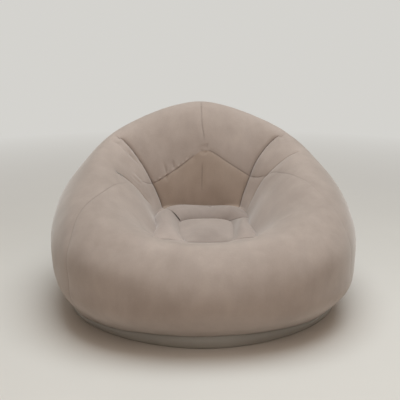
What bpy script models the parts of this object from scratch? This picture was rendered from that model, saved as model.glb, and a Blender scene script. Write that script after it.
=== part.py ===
"""An inflatable air lounger: flocked panels welded edge to edge into one air chamber round a low seat.

The chamber stands on a plain sheet with an upturned margin. Inside it, webs tie the creased back
and arms to the outer wall, and the seat to the base. A flush valve sits low on the rear wall.
The front faces -Y, +X is on the right as seen from the front, and the lounger stands on Z = 0.
A place on the wall is an angle in degrees, from 0 at the front to 180 at the back, and a share from
0 at the base weld, up the outer wall and over the crest, to 1 at the edge of the seat.
"""

import bmesh
import bpy
import numpy as np
from mathutils import Matrix, Vector

# Reach of the outer wall from the seat's centre, in five upright sections
FRONT_REACH = 0.520
FRONT_CORNER_REACH = 0.543
SIDE_REACH = 0.535
REAR_CORNER_REACH = 0.576
BACK_REACH = 0.520

# Height of the crest over the floor, in the same sections
FRONT_CREST = 0.328
FRONT_CORNER_CREST = 0.371
ARM_CREST = 0.465
SHOULDER_CREST = 0.578
BACK_CREST = 0.671

# Distance of the base weld from the seat's centre, and its height over the floor
FRONT_WELD_RADIUS = 0.405
FRONT_CORNER_WELD_RADIUS = 0.420
SIDE_WELD_RADIUS = 0.470
REAR_CORNER_WELD_RADIUS = 0.450
BACK_WELD_RADIUS = 0.430
FRONT_WELD_HEIGHT = 0.043
FRONT_CORNER_WELD_HEIGHT = 0.027
SIDE_WELD_HEIGHT = 0.009
REAR_CORNER_WELD_HEIGHT = 0.009
BACK_WELD_HEIGHT = 0.010

# Distance of the seat's edge from the seat's centre
FRONT_SEAT_RADIUS = 0.228
FRONT_CORNER_SEAT_RADIUS = 0.235
SIDE_SEAT_RADIUS = 0.168
REAR_CORNER_SEAT_RADIUS = 0.222
BACK_SEAT_RADIUS = 0.192

# Height of the seat's edge, at the front and at the back, and how it falls and climbs between them
SEAT_FRONT_HEIGHT = 0.282
SEAT_REAR_HEIGHT = 0.292
SEAT_RISE_SHARES = (0.0, -0.5, -0.4, 0.6, 1.0)

# The fullness of the back's cushion: how far it stands forward, how much it also rises, where it
# starts on the wall, how low its fullest place lies, and over which angles it comes in
BACK_FULLNESS = 0.028
BACK_FULLNESS_RISE_SHARE = 0.2
BACK_FULLNESS_START_SHARE = 0.66
BACK_FULLNESS_POWER = 1.6
BACK_FULLNESS_ANGLES = (130, 160)

# Each section between its weld and its seat edge, as shares of its reach and of its crest height
SECTION_ANGLES = (0, 45, 90, 135, 180)
REACH_SHARES = (
    (0.92, 1.00, 0.96, 0.855, 0.72, 0.605, 0.505),
    (0.97, 1.00, 0.995, 0.89, 0.75, 0.605, 0.49),
    (0.96, 1.00, 0.975, 0.87, 0.70, 0.545, 0.40),
    (0.94, 1.00, 0.975, 0.865, 0.735, 0.58, 0.45),
    (0.945, 1.00, 0.955, 0.85, 0.65, 0.51, 0.45),
)
CREST_SHARES = (
    (0.322, 0.55, 0.785, 0.945, 1.00, 0.945, 0.885),
    (0.322, 0.525, 0.75, 0.93, 1.00, 0.95, 0.835),
    (0.255, 0.445, 0.69, 0.90, 1.00, 0.935, 0.755),
    (0.20, 0.39, 0.64, 0.845, 1.00, 0.925, 0.69),
    (0.17, 0.35, 0.595, 0.83, 1.00, 0.915, 0.67),
)

# Skins, webs and the gaps between welded edges
SKIN = 0.001
WEB = 0.0008
SEAM_GAP = 0.0003
MEASURE_STEP = 0.001

# The belt seam climbs each side, then runs round the inside of the back, as angle and wall share
BELT_SHARES = {
    "left": (
        (55.0, 0.00), (54.8, 0.10), (54.8, 0.20), (55.0, 0.30), (55.8, 0.40), (59.0, 0.465),
        (64.0, 0.53), (70.0, 0.61), (76.5, 0.67), (84.8, 0.72), (94.5, 0.769), (104.0, 0.802),
        (115.0, 0.829), (125.0, 0.852), (136.0, 0.878), (150.0, 0.880), (165.0, 0.863), (180.0, 0.839),
    ),
    "right": (
        (62.0, 0.00), (61.5, 0.10), (60.8, 0.20), (59.5, 0.30), (59.5, 0.40), (63.0, 0.49),
        (69.0, 0.56), (75.0, 0.605), (81.8, 0.646), (89.0, 0.695), (98.0, 0.741), (106.0, 0.773),
        (115.0, 0.80), (125.0, 0.838), (136.0, 0.860), (150.0, 0.856), (165.0, 0.845), (180.0, 0.839),
    ),
}
BELT_STEPS = 360
BELT_CORNER_SHARE = 0.773
BELT_BLEND_POWER = 4
BELT_GROOVE = 0.005
BELT_GROOVE_WIDTH = 0.009

# The back crease and the arm crease, as wall share and angle
BACK_CREASE_SHARES = (
    (0.0, 129.0), (0.60, 127.8), (0.68, 129.2), (0.745, 131.6), (0.80, 133.9),
    (0.85, 135.8), (0.90, 137.5), (0.955, 139.6), (1.0, 141.5),
)
ARM_CREASE_SHARES = {
    "left": (
        (0.0, 88.0), (0.30, 90.0), (0.50, 93.0), (0.65, 97.0), (0.749, 103.7), (0.785, 107.6),
        (0.82, 111.5), (0.878, 117.5), (0.937, 122.2), (1.0, 125.5),
    ),
    "right": (
        (0.0, 92.0), (0.30, 97.0), (0.50, 104.0), (0.659, 111.8), (0.738, 114.7), (0.799, 118.9),
        (0.841, 123.2), (0.894, 126.3), (0.945, 127.3), (1.0, 126.0),
    ),
}
BACK_CREASE_DEPTH = 0.024
BACK_CREASE_WIDTH = 0.015
BACK_CREASE_START_SHARE = 0.62
ARM_CREASE_DEPTH = 0.011
ARM_CREASE_WIDTH = 0.018
ARM_CREASE_START_SHARES = {"left": 0.72, "right": 0.62}
CREASE_FADE_SHARE = 0.15
CREASE_FOOT_SHARE = 0.5
GROOVE_STEPS = 60
CROSSING_ROUNDS = 8

# The centre seam of the back: crest to belt
CENTRE_SEAM_START_SHARE = 0.60
CENTRE_SEAM_DEPTH = 0.003
CENTRE_SEAM_WIDTH = 0.009
CENTRE_ANGLE = 180.0

# Grid lines: rows up the wall, and columns as shares between the seams
WALL_ROWS = 16
ROW_GRADE = 1.2
SEAT_ROWS = 3
FRONT_COLUMN_SHARES = (0.0, 0.12, 0.24, 0.36, 0.48, 0.60, 0.71, 0.81, 0.905, 0.955, 1.0)
SIDE_COLUMN_SHARES = (0.0, 0.25, 0.5, 0.75)
REAR_COLUMN_SHARES = (0.0, 0.08, 0.20, 0.36, 0.52, 0.68, 0.84, 1.0)
ARM_CREASE_COLUMN = 8
SEAT_CORNER_COLUMN = 3
SEAT_REAR_COLUMNS = {"left": 10, "right": 8}

# The seat: a centre pad in a ring of four lobes
PAD_REAR_HALF_WIDTH = 0.086
PAD_FRONT_HALF_WIDTH = 0.074
PAD_REAR = 0.087
PAD_FRONT = 0.165
PAD_CENTRE_X = 0.005
PAD_VALLEY_HEIGHT = 0.267
PAD_CROWN = 0.025
PAD_CROWN_POWER = 0.8
PAD_CORNER_SHARE = 0.92
PAD_CORNER_POWER = 4
PAD_RINGS = 6
LOBE_STEPS = 6
REAR_LOBE_CROWN = 0.034
SIDE_LOBE_CROWN = 0.028
FRONT_LOBE_CROWN = 0.010
MITRE_CROWN = 0.007

# The base sheet and its upturned margin
BAND_BULGE = 0.007
BAND_TUCK = 0.008
BAND_RISE_SHARES = (0.75, 0.35, 0.07)
BAND_BULGE_SHARES = (0.75, 1.0, 0.45)
BASE_RING_SHARE = 0.6

# Rows of the wall grid that the inner webs are welded to: on the outer wall, and down the crease
WEB_OUTER_ROWS = slice(2, 10)
WEB_CREASE_ROWS = slice(14, None)
WEB_SLACK = 0.0015
TIE_CORNER_POINTS = 1

# The valve, on its own axis from the skin outwards
VALVE_ROW = 3
VALVE_COLUMN = 12
FLANGE_RADIUS = 0.027
FLANGE_THICKNESS = 0.0018
FLANGE_EDGE = 0.0006
COLLAR_RADIUS = 0.019
BORE_RADIUS = 0.017
COLLAR_DEPTH = 0.012
FIT_CLEARANCE = 0.0003
RIM_RADIUS = 0.021
RIM_THICKNESS = 0.0014
SLEEVE_WALL = 0.0015
SLEEVE_DEPTH = 0.009
PORT_RADIUS = 0.009
PORT_WALL = 0.0015
PORT_DEPTH = 0.010
FLAP_RADIUS = 0.0104
FLAP_THICKNESS = 0.0008
FLAP_HINGE_RADIUS = 0.0100
CAP_RADIUS = 0.0125
CAP_THICKNESS = 0.0015
CAP_EDGE = 0.0004
PLUG_DEPTH = 0.0045
PLUG_TAPER = 0.0005
STRAP_WIDTH = 0.006
STRAP_BEAD_RADIUS = 0.0008
STRAP_HINGE_RADIUS = 0.018
TURN_STEPS = 40
CUT_OVERRUN = 0.004
MERGE_DISTANCE = 0.00001

FLOCK_COLOUR = (0.40, 0.33, 0.28, 1.0)
SEAT_COLOUR = (0.36, 0.29, 0.245, 1.0)
BAND_COLOUR = (0.20, 0.19, 0.165, 1.0)
WEB_COLOUR = (0.45, 0.44, 0.42, 1.0)
VALVE_COLOUR = (0.16, 0.155, 0.15, 1.0)
SILICONE_COLOUR = (0.55, 0.54, 0.52, 1.0)


def clear_scene():
    for thing in list(bpy.data.objects):
        bpy.data.objects.remove(thing, do_unlink=True)


def new_collection(name):
    found = bpy.data.collections.new(name)
    bpy.context.scene.collection.children.link(found)
    return found


def material(name, colour, roughness):
    made = bpy.data.materials.new(name)
    made.use_nodes = True
    shader = made.node_tree.nodes["Principled BSDF"]
    shader.inputs["Base Color"].default_value = colour
    shader.inputs["Roughness"].default_value = roughness
    shader.inputs["Metallic"].default_value = 0.0
    return made


def spline_bends(values):
    """Second differences that make a natural cubic through evenly spaced values, along axis 0."""
    count = len(values)
    system = np.eye(count)
    right = np.zeros_like(values)
    for row in range(1, count - 1):
        system[row, row - 1 : row + 2] = 1, 4, 1
        right[row] = 6 * (values[row - 1] - 2 * values[row] + values[row + 1])
    return np.linalg.solve(system, right.reshape(count, -1)).reshape(values.shape)


def spline_at(values, bends, share):
    """Points at shares 0 to 1 along the natural cubic through evenly spaced values."""
    place = np.clip(share, 0, 1) * (len(values) - 1)
    first = np.minimum(place.astype(int), len(values) - 2)
    after = (place - first).reshape(place.shape + (1,) * (values.ndim - 1))
    before = 1 - after
    straight = before * values[first] + after * values[first + 1]
    lower = (before**3 - before) * bends[first] / 6
    upper = (after**3 - after) * bends[first + 1] / 6
    return straight + lower + upper


def section_points():
    """Nine points of each section, from weld to seat edge: array of 9 x 5 x (radius, height)."""
    reach = (FRONT_REACH, FRONT_CORNER_REACH, SIDE_REACH, REAR_CORNER_REACH, BACK_REACH)
    crest = (FRONT_CREST, FRONT_CORNER_CREST, ARM_CREST, SHOULDER_CREST, BACK_CREST)
    weld = (
        FRONT_WELD_RADIUS, FRONT_CORNER_WELD_RADIUS, SIDE_WELD_RADIUS,
        REAR_CORNER_WELD_RADIUS, BACK_WELD_RADIUS,
    )
    seat = (
        FRONT_SEAT_RADIUS, FRONT_CORNER_SEAT_RADIUS, SIDE_SEAT_RADIUS,
        REAR_CORNER_SEAT_RADIUS, BACK_SEAT_RADIUS,
    )
    lift = (
        FRONT_WELD_HEIGHT, FRONT_CORNER_WELD_HEIGHT, SIDE_WELD_HEIGHT,
        REAR_CORNER_WELD_HEIGHT, BACK_WELD_HEIGHT,
    )
    sections = []
    for index in range(len(SECTION_ANGLES)):
        rise = (SEAT_REAR_HEIGHT - SEAT_FRONT_HEIGHT) * SEAT_RISE_SHARES[index]
        radii = [weld[index]] + [reach[index] * share for share in REACH_SHARES[index]] + [seat[index]]
        heights = [crest[index] * share for share in CREST_SHARES[index]]
        heights = [lift[index]] + heights + [SEAT_FRONT_HEIGHT + rise]
        sections.append(list(zip(radii, heights)))
    return np.swapaxes(np.array(sections), 0, 1)


SECTIONS = section_points()
SECTION_BENDS = spline_bends(SECTIONS)
HARMONICS = np.arange(len(SECTION_ANGLES))
HARMONIC_WEIGHTS = np.linalg.inv(np.cos(np.radians(np.outer(SECTION_ANGLES, HARMONICS))))


def back_fullness(angle, share):
    """How far the blown back stands forward of the sections between its two deep creases."""
    place = np.clip((share - BACK_FULLNESS_START_SHARE) / (1 - BACK_FULLNESS_START_SHARE), 0, 1)
    first, full = BACK_FULLNESS_ANGLES
    turn = np.clip((angle - first) / (full - first), 0, 1)
    swell = np.sin(np.pi * place**BACK_FULLNESS_POWER)
    return BACK_FULLNESS * swell * turn * turn * (3 - 2 * turn)


def wall_point(angle, share):
    """Points of the smooth wall, before its seams draw it in."""
    angle, share = np.broadcast_arrays(np.asarray(angle, float), np.asarray(share, float))
    weights = np.cos(np.radians(angle)[..., None] * HARMONICS) @ HARMONIC_WEIGHTS
    outline = (weights[..., None] * spline_at(SECTIONS, SECTION_BENDS, share)).sum(axis=-2)
    fullness = back_fullness(angle, share)
    radius = outline[..., 0] - fullness
    height = outline[..., 1] + BACK_FULLNESS_RISE_SHARE * fullness
    turn = np.radians(angle)
    return np.stack([radius * np.sin(turn), -radius * np.cos(turn), height], axis=-1)


def wall_normal(angle, share):
    """Unit vectors out of the smooth wall."""
    share = np.clip(share, MEASURE_STEP, 1 - MEASURE_STEP)
    round_wall = wall_point(angle + MEASURE_STEP, share) - wall_point(angle - MEASURE_STEP, share)
    up_wall = wall_point(angle, share + MEASURE_STEP) - wall_point(angle, share - MEASURE_STEP)
    normal = np.cross(round_wall, up_wall)
    return normal / np.linalg.norm(normal, axis=-1, keepdims=True)


def belt_path(side):
    """Angles and wall shares close together along the belt seam."""
    knots = np.array(BELT_SHARES[side])
    return spline_at(knots, spline_bends(knots), np.linspace(0, 1, BELT_STEPS))


BELTS = {side: belt_path(side) for side in BELT_SHARES}


def belt_share(angle, side):
    belt = BELTS[side]
    return np.interp(angle, belt[:, 0], belt[:, 1])


def belt_angle(share, side):
    """Where the climbing part of the belt seam, up to its corner, has a wall share."""
    belt = BELTS[side]
    climb = belt[: int(belt[:, 1].argmax()) + 1]
    return float(np.interp(share, climb[:, 1], climb[:, 0]))


BELT_CORNER_ANGLES = {side: belt_angle(BELT_CORNER_SHARE, side) for side in BELTS}


def crease_angle(crease, share):
    shares, angles = zip(*crease)
    return np.interp(share, shares, angles)


def row_share(row, angle, side):
    """The wall share at an angle on a hood row. The top row, at the corner's share, is the belt seam."""
    rise = np.where(
        angle > BELT_CORNER_ANGLES[side], belt_share(angle, side) / BELT_CORNER_SHARE - 1, 0
    )
    return row * (1 + rise * (row / BELT_CORNER_SHARE) ** BELT_BLEND_POWER)


def crease_on_row(crease, row, side):
    """Where a crease crosses a hood row."""
    angle = crease_angle(crease, row)
    for _ in range(CROSSING_ROUNDS):
        angle = crease_angle(crease, row_share(row, angle, side))
    return float(angle)


def crease_groove(crease, start, depth, width):
    """A groove along a crease, on one side: its path, its depth along it and its width."""
    shares = np.linspace(start, 1, GROOVE_STEPS)
    path = wall_point(crease_angle(crease, shares), shares)
    fade = np.clip((shares - start) / CREASE_FADE_SHARE, 0, 1)
    foot = 1 - CREASE_FOOT_SHARE * np.clip((shares - (1 - CREASE_FADE_SHARE)) / CREASE_FADE_SHARE, 0, 1)
    return path, depth * fade * fade * (3 - 2 * fade) * foot, width


def belt_groove(side):
    path = wall_point(BELTS[side][:, 0], BELTS[side][:, 1])
    return path, np.full(len(path), BELT_GROOVE), BELT_GROOVE_WIDTH


def centre_groove():
    end = float(belt_share(CENTRE_ANGLE, "right"))
    shares = np.linspace(CENTRE_SEAM_START_SHARE, end, GROOVE_STEPS)
    path = wall_point(CENTRE_ANGLE, shares)
    fade = np.clip((shares - CENTRE_SEAM_START_SHARE) / CREASE_FADE_SHARE, 0, 1)
    return path, CENTRE_SEAM_DEPTH * fade, CENTRE_SEAM_WIDTH


def side_grooves(side):
    """All the grooves of one half."""
    arm_crease, arm_start = ARM_CREASE_SHARES[side], ARM_CREASE_START_SHARES[side]
    return (
        crease_groove(BACK_CREASE_SHARES, BACK_CREASE_START_SHARE, BACK_CREASE_DEPTH, BACK_CREASE_WIDTH),
        crease_groove(arm_crease, arm_start, ARM_CREASE_DEPTH, ARM_CREASE_WIDTH),
        belt_groove(side),
        centre_groove(),
    )


GROOVES = {side: side_grooves(side) for side in BELTS}


def groove_depth(points, side):
    """How far the seams of one side draw the wall in at points of the +X half."""
    depth = 0
    for path, depths, width in GROOVES[side]:
        away = np.linalg.norm(points[..., None, :] - path, axis=-1)
        depth = depth + depths[away.argmin(axis=-1)] * np.exp(-away.min(axis=-1) / width)
    return depth


def drawn_wall(angle, share, side):
    """Points of one half of the wall with its grooves, and the smooth wall's normals there."""
    points = wall_point(angle, share)
    normals = wall_normal(angle, share)
    drawn = points - normals * groove_depth(points, side)[..., None]
    if side == "left":
        return mirrored(drawn), mirrored(normals)
    return drawn, normals


def mirrored(points):
    return points * np.array([-1, 1, 1])


def wall_rows():
    """Rows that the front panel and the hoods share, from the base weld to the belt's corner."""
    steps = np.linspace(0, 1, WALL_ROWS + 1)
    return BELT_CORNER_SHARE * (1 - (1 - steps) ** ROW_GRADE)


def hood_grid(side):
    """Angles and shares of one hood: rows up the wall, columns from the belt seam to the centre."""
    angles, shares = [], []
    for row in wall_rows():
        stops = [
            belt_angle(row, side),
            crease_on_row(ARM_CREASE_SHARES[side], row, side),
            crease_on_row(BACK_CREASE_SHARES, row, side),
            CENTRE_ANGLE,
        ]
        line = []
        for first, last, fractions in zip(
            stops, stops[1:], (SIDE_COLUMN_SHARES, SIDE_COLUMN_SHARES, REAR_COLUMN_SHARES)
        ):
            line += [first + (last - first) * share for share in fractions]
        angles.append(line)
        shares.append(row_share(row, np.array(line), side))
    return np.array(angles), np.array(shares)


ARM_COLUMN = len(SIDE_COLUMN_SHARES)
BACK_COLUMN = 2 * len(SIDE_COLUMN_SHARES)


def front_rows(side):
    """Wall share and end angle of each row of the front panel, from the base weld to the seat."""
    hood_angles, hood_shares = hood_grid(side)
    rows = [(share, belt_angle(share, side)) for share in wall_rows()]
    for column in range(1, BACK_COLUMN + 1):
        rows.append((float(hood_shares[-1, column]), float(hood_angles[-1, column])))
    start = rows[-1][0]
    for step in range(1, SEAT_ROWS + 1):
        share = start + (1 - start) * step / SEAT_ROWS
        rows.append((share, float(crease_angle(BACK_CREASE_SHARES, share))))
    return np.array(rows)


def front_columns(side):
    """Column shares of each row of the front panel. Above the belt seam one column is the arm crease."""
    plain = np.array(FRONT_COLUMN_SHARES)
    ends = front_rows(side)
    columns = np.tile(plain, (len(ends), 1))
    crossing = WALL_ROWS + ARM_COLUMN
    for row in range(crossing + 1, len(ends)):
        share, end = ends[row]
        place = crease_angle(ARM_CREASE_SHARES[side], share) / end
        column = max(ARM_CREASE_COLUMN, len(plain) - 1 - (row - crossing))
        before = plain[:column] / plain[column] * place
        after = 1 - (1 - plain[column:]) / (1 - plain[column]) * (1 - place)
        columns[row] = np.concatenate([before, after])
    return columns


def front_half(side):
    """One half of the front panel: rows up the wall, columns from the middle to the belt or crease."""
    columns = front_columns(side)
    ends = front_rows(side)
    middle = (front_rows("left")[:, :1] + front_rows("right")[:, :1]) / 2
    return drawn_wall(ends[:, 1:] * columns, middle + (ends[:, :1] - middle) * columns, side)


def lower_back_half(side):
    """One lower back: rows from the belt seam to the seat, columns from the crease to the centre."""
    start = front_rows(side)[-1 - SEAT_ROWS, 0]
    angles, shares = [], []
    for step in range(SEAT_ROWS + 1):
        crease_share = start + (1 - start) * step / SEAT_ROWS
        first = float(crease_angle(BACK_CREASE_SHARES, crease_share))
        line = first + (CENTRE_ANGLE - first) * np.array(REAR_COLUMN_SHARES)
        top = belt_share(line, side)
        top[0] = start
        angles.append(line)
        shares.append(top + (1 - top) * step / SEAT_ROWS)
    return drawn_wall(np.array(angles), np.array(shares), side)


def pulled(points):
    """The grid with each edge drawn back by half a seam gap."""
    moved = points.copy()
    for edge, inner in (
        (np.s_[0], np.s_[1]),
        (np.s_[-1], np.s_[-2]),
        (np.s_[:, 0], np.s_[:, 1]),
        (np.s_[:, -1], np.s_[:, -2]),
    ):
        way = points[inner] - points[edge]
        moved[edge] += way / np.linalg.norm(way, axis=-1, keepdims=True) * SEAM_GAP / 2
    return moved


def add_object(name, mesh, collection, colour):
    made = bpy.data.objects.new(name, mesh)
    made.data.materials.append(colour)
    collection.objects.link(made)
    made.parent = bpy.data.objects["air_lounger"]
    mesh.shade_smooth()
    return made


def thicken(piece, thickness, offset):
    solid = piece.modifiers.new("Skin", "SOLIDIFY")
    solid.thickness = thickness
    solid.offset = offset
    return piece


def grid_mesh(name, points, facing):
    """An open mesh over rows and columns of points, with its faces turned towards a direction."""
    rows, columns = points.shape[:2]
    build = bmesh.new()
    corners = [[build.verts.new(point) for point in row] for row in points]
    for row in range(rows - 1):
        for column in range(columns - 1):
            build.faces.new(
                (
                    corners[row][column],
                    corners[row][column + 1],
                    corners[row + 1][column + 1],
                    corners[row + 1][column],
                )
            )
    return finish_sheet(name, build, facing)


def polar_mesh(name, rings, centre, facing):
    """An open mesh over closed rings of points, from the outside in, and a centre point."""
    build = bmesh.new()
    loops = [[build.verts.new(point) for point in ring] for ring in rings]
    middle = build.verts.new(centre)
    count = len(loops[0])
    for index in range(count):
        after = (index + 1) % count
        for outer, inner in zip(loops, loops[1:]):
            build.faces.new((outer[index], outer[after], inner[after], inner[index]))
        build.faces.new((loops[-1][index], loops[-1][after], middle))
    return finish_sheet(name, build, facing)


def finish_sheet(name, build, facing):
    """Writes the bmesh, with its faces turned so that their areas add up towards a direction."""
    build.normal_update()
    total = sum((facing(face) for face in build.faces))
    if total < 0:
        bmesh.ops.reverse_faces(build, faces=list(build.faces))
    mesh = bpy.data.meshes.new(name)
    build.to_mesh(mesh)
    build.free()
    return mesh


def faces_down(face):
    return -face.normal.z * face.calc_area()


def faces_up(face):
    return face.normal.z * face.calc_area()


def faces_out_low(face):
    """How far a wall face looks away from the seat's centre, for the part of it under the crest."""
    middle = face.calc_center_median()
    outward = Vector((middle.x, middle.y, 0)).normalized()
    low = max(0.0, FRONT_CREST - middle.z)
    return face.normal.dot(outward) * face.calc_area() * low


def faces_rear_wall(face):
    """How far a lower back face looks at the seat."""
    middle = face.calc_center_median()
    return -face.normal.y * middle.y * face.calc_area()


def front_panel(parts, flock):
    whole = np.concatenate([front_half("left")[0][:, :0:-1], front_half("right")[0]], axis=1)
    sheet = grid_mesh("front_panel", pulled(whole), faces_out_low)
    return thicken(add_object("front_panel", sheet, parts, flock), SKIN, -1)


def valve_cell(points):
    """Centre and outward normal of the grid cell that carries the valve."""
    cell = points[VALVE_ROW : VALVE_ROW + 2, VALVE_COLUMN : VALVE_COLUMN + 2].reshape(4, 3)
    centre = cell.mean(axis=0)
    normal = np.cross(cell[1] - cell[2], cell[3] - cell[0])
    normal = normal / np.linalg.norm(normal)
    return centre, normal * np.sign(normal[1])


def flat_cell(points):
    """The grid with the valve's cell made flat, as its stiff flange holds it."""
    centre, normal = valve_cell(points)
    cell = np.s_[VALVE_ROW : VALVE_ROW + 2, VALVE_COLUMN : VALVE_COLUMN + 2]
    points[cell] -= ((points[cell] - centre) @ normal)[..., None] * normal
    return points


def hood_points(side):
    """Points and normals of one hood. The right one has the flat place for the valve."""
    points, normals = drawn_wall(*hood_grid(side), side)
    return (flat_cell(points) if side == "right" else points), normals


def hood(parts, flock, side):
    sheet = grid_mesh("hood_" + side, pulled(hood_points(side)[0]), faces_out_low)
    return thicken(add_object("hood_" + side, sheet, parts, flock), SKIN, -1)


def lower_back(parts, flock, side):
    name = "lower_back_" + side
    sheet = grid_mesh(name, pulled(lower_back_half(side)[0]), faces_rear_wall)
    return thicken(add_object(name, sheet, parts, flock), SKIN, -1)


def pad_middle():
    return np.array([PAD_CENTRE_X, (PAD_REAR - PAD_FRONT) / 2, PAD_VALLEY_HEIGHT])


def pad_line(count, start, end):
    """Points of one side of the pad, with its corners drawn in."""
    share = np.linspace(0, 1, count)[:, None]
    points = np.array(start) * (1 - share) + np.array(end) * share
    corner = abs(2 * share - 1) ** PAD_CORNER_POWER
    return pad_middle() + (points - pad_middle()) * (1 - (1 - PAD_CORNER_SHARE) * corner)


def pad_corner(half_width, y):
    return (PAD_CENTRE_X + half_width, y, PAD_VALLEY_HEIGHT)


def seat_edges():
    """Each lobe's line on the wall's foot and on the pad, both clockwise as seen from above."""
    walls = {side: front_half(side)[0][-1] for side in BELTS}
    backs = {side: lower_back_half(side)[0][-1] for side in BELTS}
    ends, corner = SEAT_REAR_COLUMNS, SEAT_CORNER_COLUMN
    outer = {
        "rear": np.concatenate(
            [
                walls["left"][ends["left"] : -1],
                backs["left"][:-1],
                backs["right"][:0:-1],
                walls["right"][: ends["right"] - 1 : -1],
            ]
        ),
        "right": walls["right"][ends["right"] : corner - 1 : -1],
        "front": np.concatenate([walls["right"][corner:0:-1], walls["left"][: corner + 1]]),
        "left": walls["left"][corner : ends["left"] + 1],
    }
    rear_left = pad_corner(-PAD_REAR_HALF_WIDTH, PAD_REAR)
    rear_right = pad_corner(PAD_REAR_HALF_WIDTH, PAD_REAR)
    front_left = pad_corner(-PAD_FRONT_HALF_WIDTH, -PAD_FRONT)
    front_right = pad_corner(PAD_FRONT_HALF_WIDTH, -PAD_FRONT)
    inner = {
        "rear": pad_line(len(outer["rear"]), rear_left, rear_right),
        "right": pad_line(len(outer["right"]), rear_right, front_right),
        "front": pad_line(len(outer["front"]), front_right, front_left),
        "left": pad_line(len(outer["left"]), front_left, rear_left),
    }
    return outer, inner


def lobe_points(outer, inner, crown):
    """A lobe of the seat: rows from the wall to the pad, bulging between them and at mid length."""
    along = np.linspace(-1, 1, len(outer))
    lift = MITRE_CROWN + (crown - MITRE_CROWN) * (1 - along**4)
    rows = []
    for share in np.linspace(0, 1, LOBE_STEPS + 1):
        row = outer * (1 - share) + inner * share
        row[:, 2] += lift * np.sin(np.pi * share)
        rows.append(row)
    return np.array(rows)


def seat_lobe(parts, velvet, side, crown):
    outer, inner = seat_edges()
    points = pulled(lobe_points(outer[side], inner[side], crown))
    sheet = grid_mesh("seat_" + side, points, faces_up)
    return thicken(add_object("seat_" + side, sheet, parts, velvet), SKIN, -1)


def seat_pad(parts, velvet):
    inner = seat_edges()[1]
    loop = np.concatenate([inner[side][:-1] for side in ("rear", "right", "front", "left")])
    middle = pad_middle() + np.array([0, 0, PAD_CROWN])
    rings = []
    for share in np.linspace(0, 1, PAD_RINGS + 1)[:-1]:
        ring = loop * (1 - share) + middle * share
        ring[:, 2] = PAD_VALLEY_HEIGHT + PAD_CROWN * np.sin(np.pi / 2 * share) ** PAD_CROWN_POWER
        rings.append(ring)
    way = rings[1] - rings[0]
    rings[0] = rings[0] + way / np.linalg.norm(way, axis=-1, keepdims=True) * SEAM_GAP / 2
    sheet = polar_mesh("seat_pad", rings, middle, faces_up)
    return thicken(add_object("seat_pad", sheet, parts, velvet), SKIN, -1)


def weld_loop():
    """The base weld: the lowest points of the front panel and both hoods, once round."""
    right, left = (
        np.concatenate([front_half(side)[0][0], hood_points(side)[0][0][1:]]) for side in ("right", "left")
    )
    return np.concatenate([right, left[-2:0:-1]])


def base_sheet(parts, vinyl):
    """The plain sheet under the lounger, with the margin that turns up to the weld."""
    loop = weld_loop()
    outward = loop * np.array([1, 1, 0])
    outward = outward / np.linalg.norm(outward, axis=-1, keepdims=True)
    rings = [loop - np.array([0, 0, SEAM_GAP / 2])]
    for rise, bulge in zip(BAND_RISE_SHARES, BAND_BULGE_SHARES):
        ring = loop + outward * BAND_BULGE * bulge * loop[:, 2:] / FRONT_WELD_HEIGHT
        ring[:, 2] = loop[:, 2] * rise
        rings.append(ring)
    foot = loop - outward * BAND_TUCK
    foot[:, 2] = 0
    rings += [foot, foot * BASE_RING_SHARE]
    sheet = polar_mesh("base_sheet", rings, (0, 0, 0), faces_down)
    return thicken(add_object("base_sheet", sheet, parts, vinyl), SKIN, -1)


def ruled_web(name, first, last, parts, vinyl):
    """A flat web between two welds, given as two lines of points."""
    points = np.stack([first, last], axis=1)
    sheet = grid_mesh(name, points, faces_up)
    return thicken(add_object(name, sheet, parts, vinyl), WEB, 0)


def inside(points, normals, slack=0.0):
    """Points just inside the skin, where a web's edge is welded to it, or a little slack of it."""
    return points - normals * (SKIN + SEAM_GAP + slack)


def crease_web_lines(side, hood_column, foot_points, foot_normals):
    """A web's two welds: on the outer wall, and down the crease that it draws in."""
    points, normals = hood_points(side)
    outer = inside(points[WEB_OUTER_ROWS, hood_column], normals[WEB_OUTER_ROWS, hood_column])
    top = WEB_CREASE_ROWS
    crease = np.concatenate(
        [
            inside(points[top, hood_column], normals[top, hood_column]),
            inside(foot_points, foot_normals, WEB_SLACK),
        ]
    )
    steps = np.linspace(len(outer) - 1, 0, len(crease))
    whole = np.arange(len(outer))
    line = np.stack([np.interp(steps, whole, outer[:, axis]) for axis in range(3)], axis=-1)
    return line, crease


def side_webs(parts, vinyl, side):
    """The webs behind one side's back crease and arm crease."""
    points, normals = lower_back_half(side)
    lines = crease_web_lines(side, BACK_COLUMN, points[1:-1, 0], normals[1:-1, 0])
    ruled_web("back_web_" + side, *lines, parts, vinyl)
    points, normals = front_half(side)
    foot = np.s_[-1 - SEAT_ROWS : -1, ARM_CREASE_COLUMN]
    lines = crease_web_lines(side, ARM_COLUMN, points[foot], normals[foot])
    ruled_web("arm_web_" + side, *lines, parts, vinyl)


def centre_web(parts, vinyl):
    """The web behind the centre seam of the back."""
    points, normals = lower_back_half("right")
    lines = crease_web_lines("right", -1, points[1:-1, -1], normals[1:-1, -1])
    ruled_web("back_web_centre", *lines, parts, vinyl)


def seat_ties(parts, vinyl):
    """Four webs from the edges of the pad down to the base sheet."""
    inner = seat_edges()[1]
    for side, line in inner.items():
        top = line[TIE_CORNER_POINTS:-TIE_CORNER_POINTS] - np.array([0, 0, SKIN + SEAM_GAP])
        foot = top.copy()
        foot[:, 2] = SKIN + SEAM_GAP
        ruled_web("seat_tie_" + side, top, foot, parts, vinyl)


def empty(name, collection, location, parent):
    made = bpy.data.objects.new(name, None)
    made.empty_display_size = FLANGE_RADIUS
    made.location = location
    made.parent = parent
    collection.objects.link(made)
    return made


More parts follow.
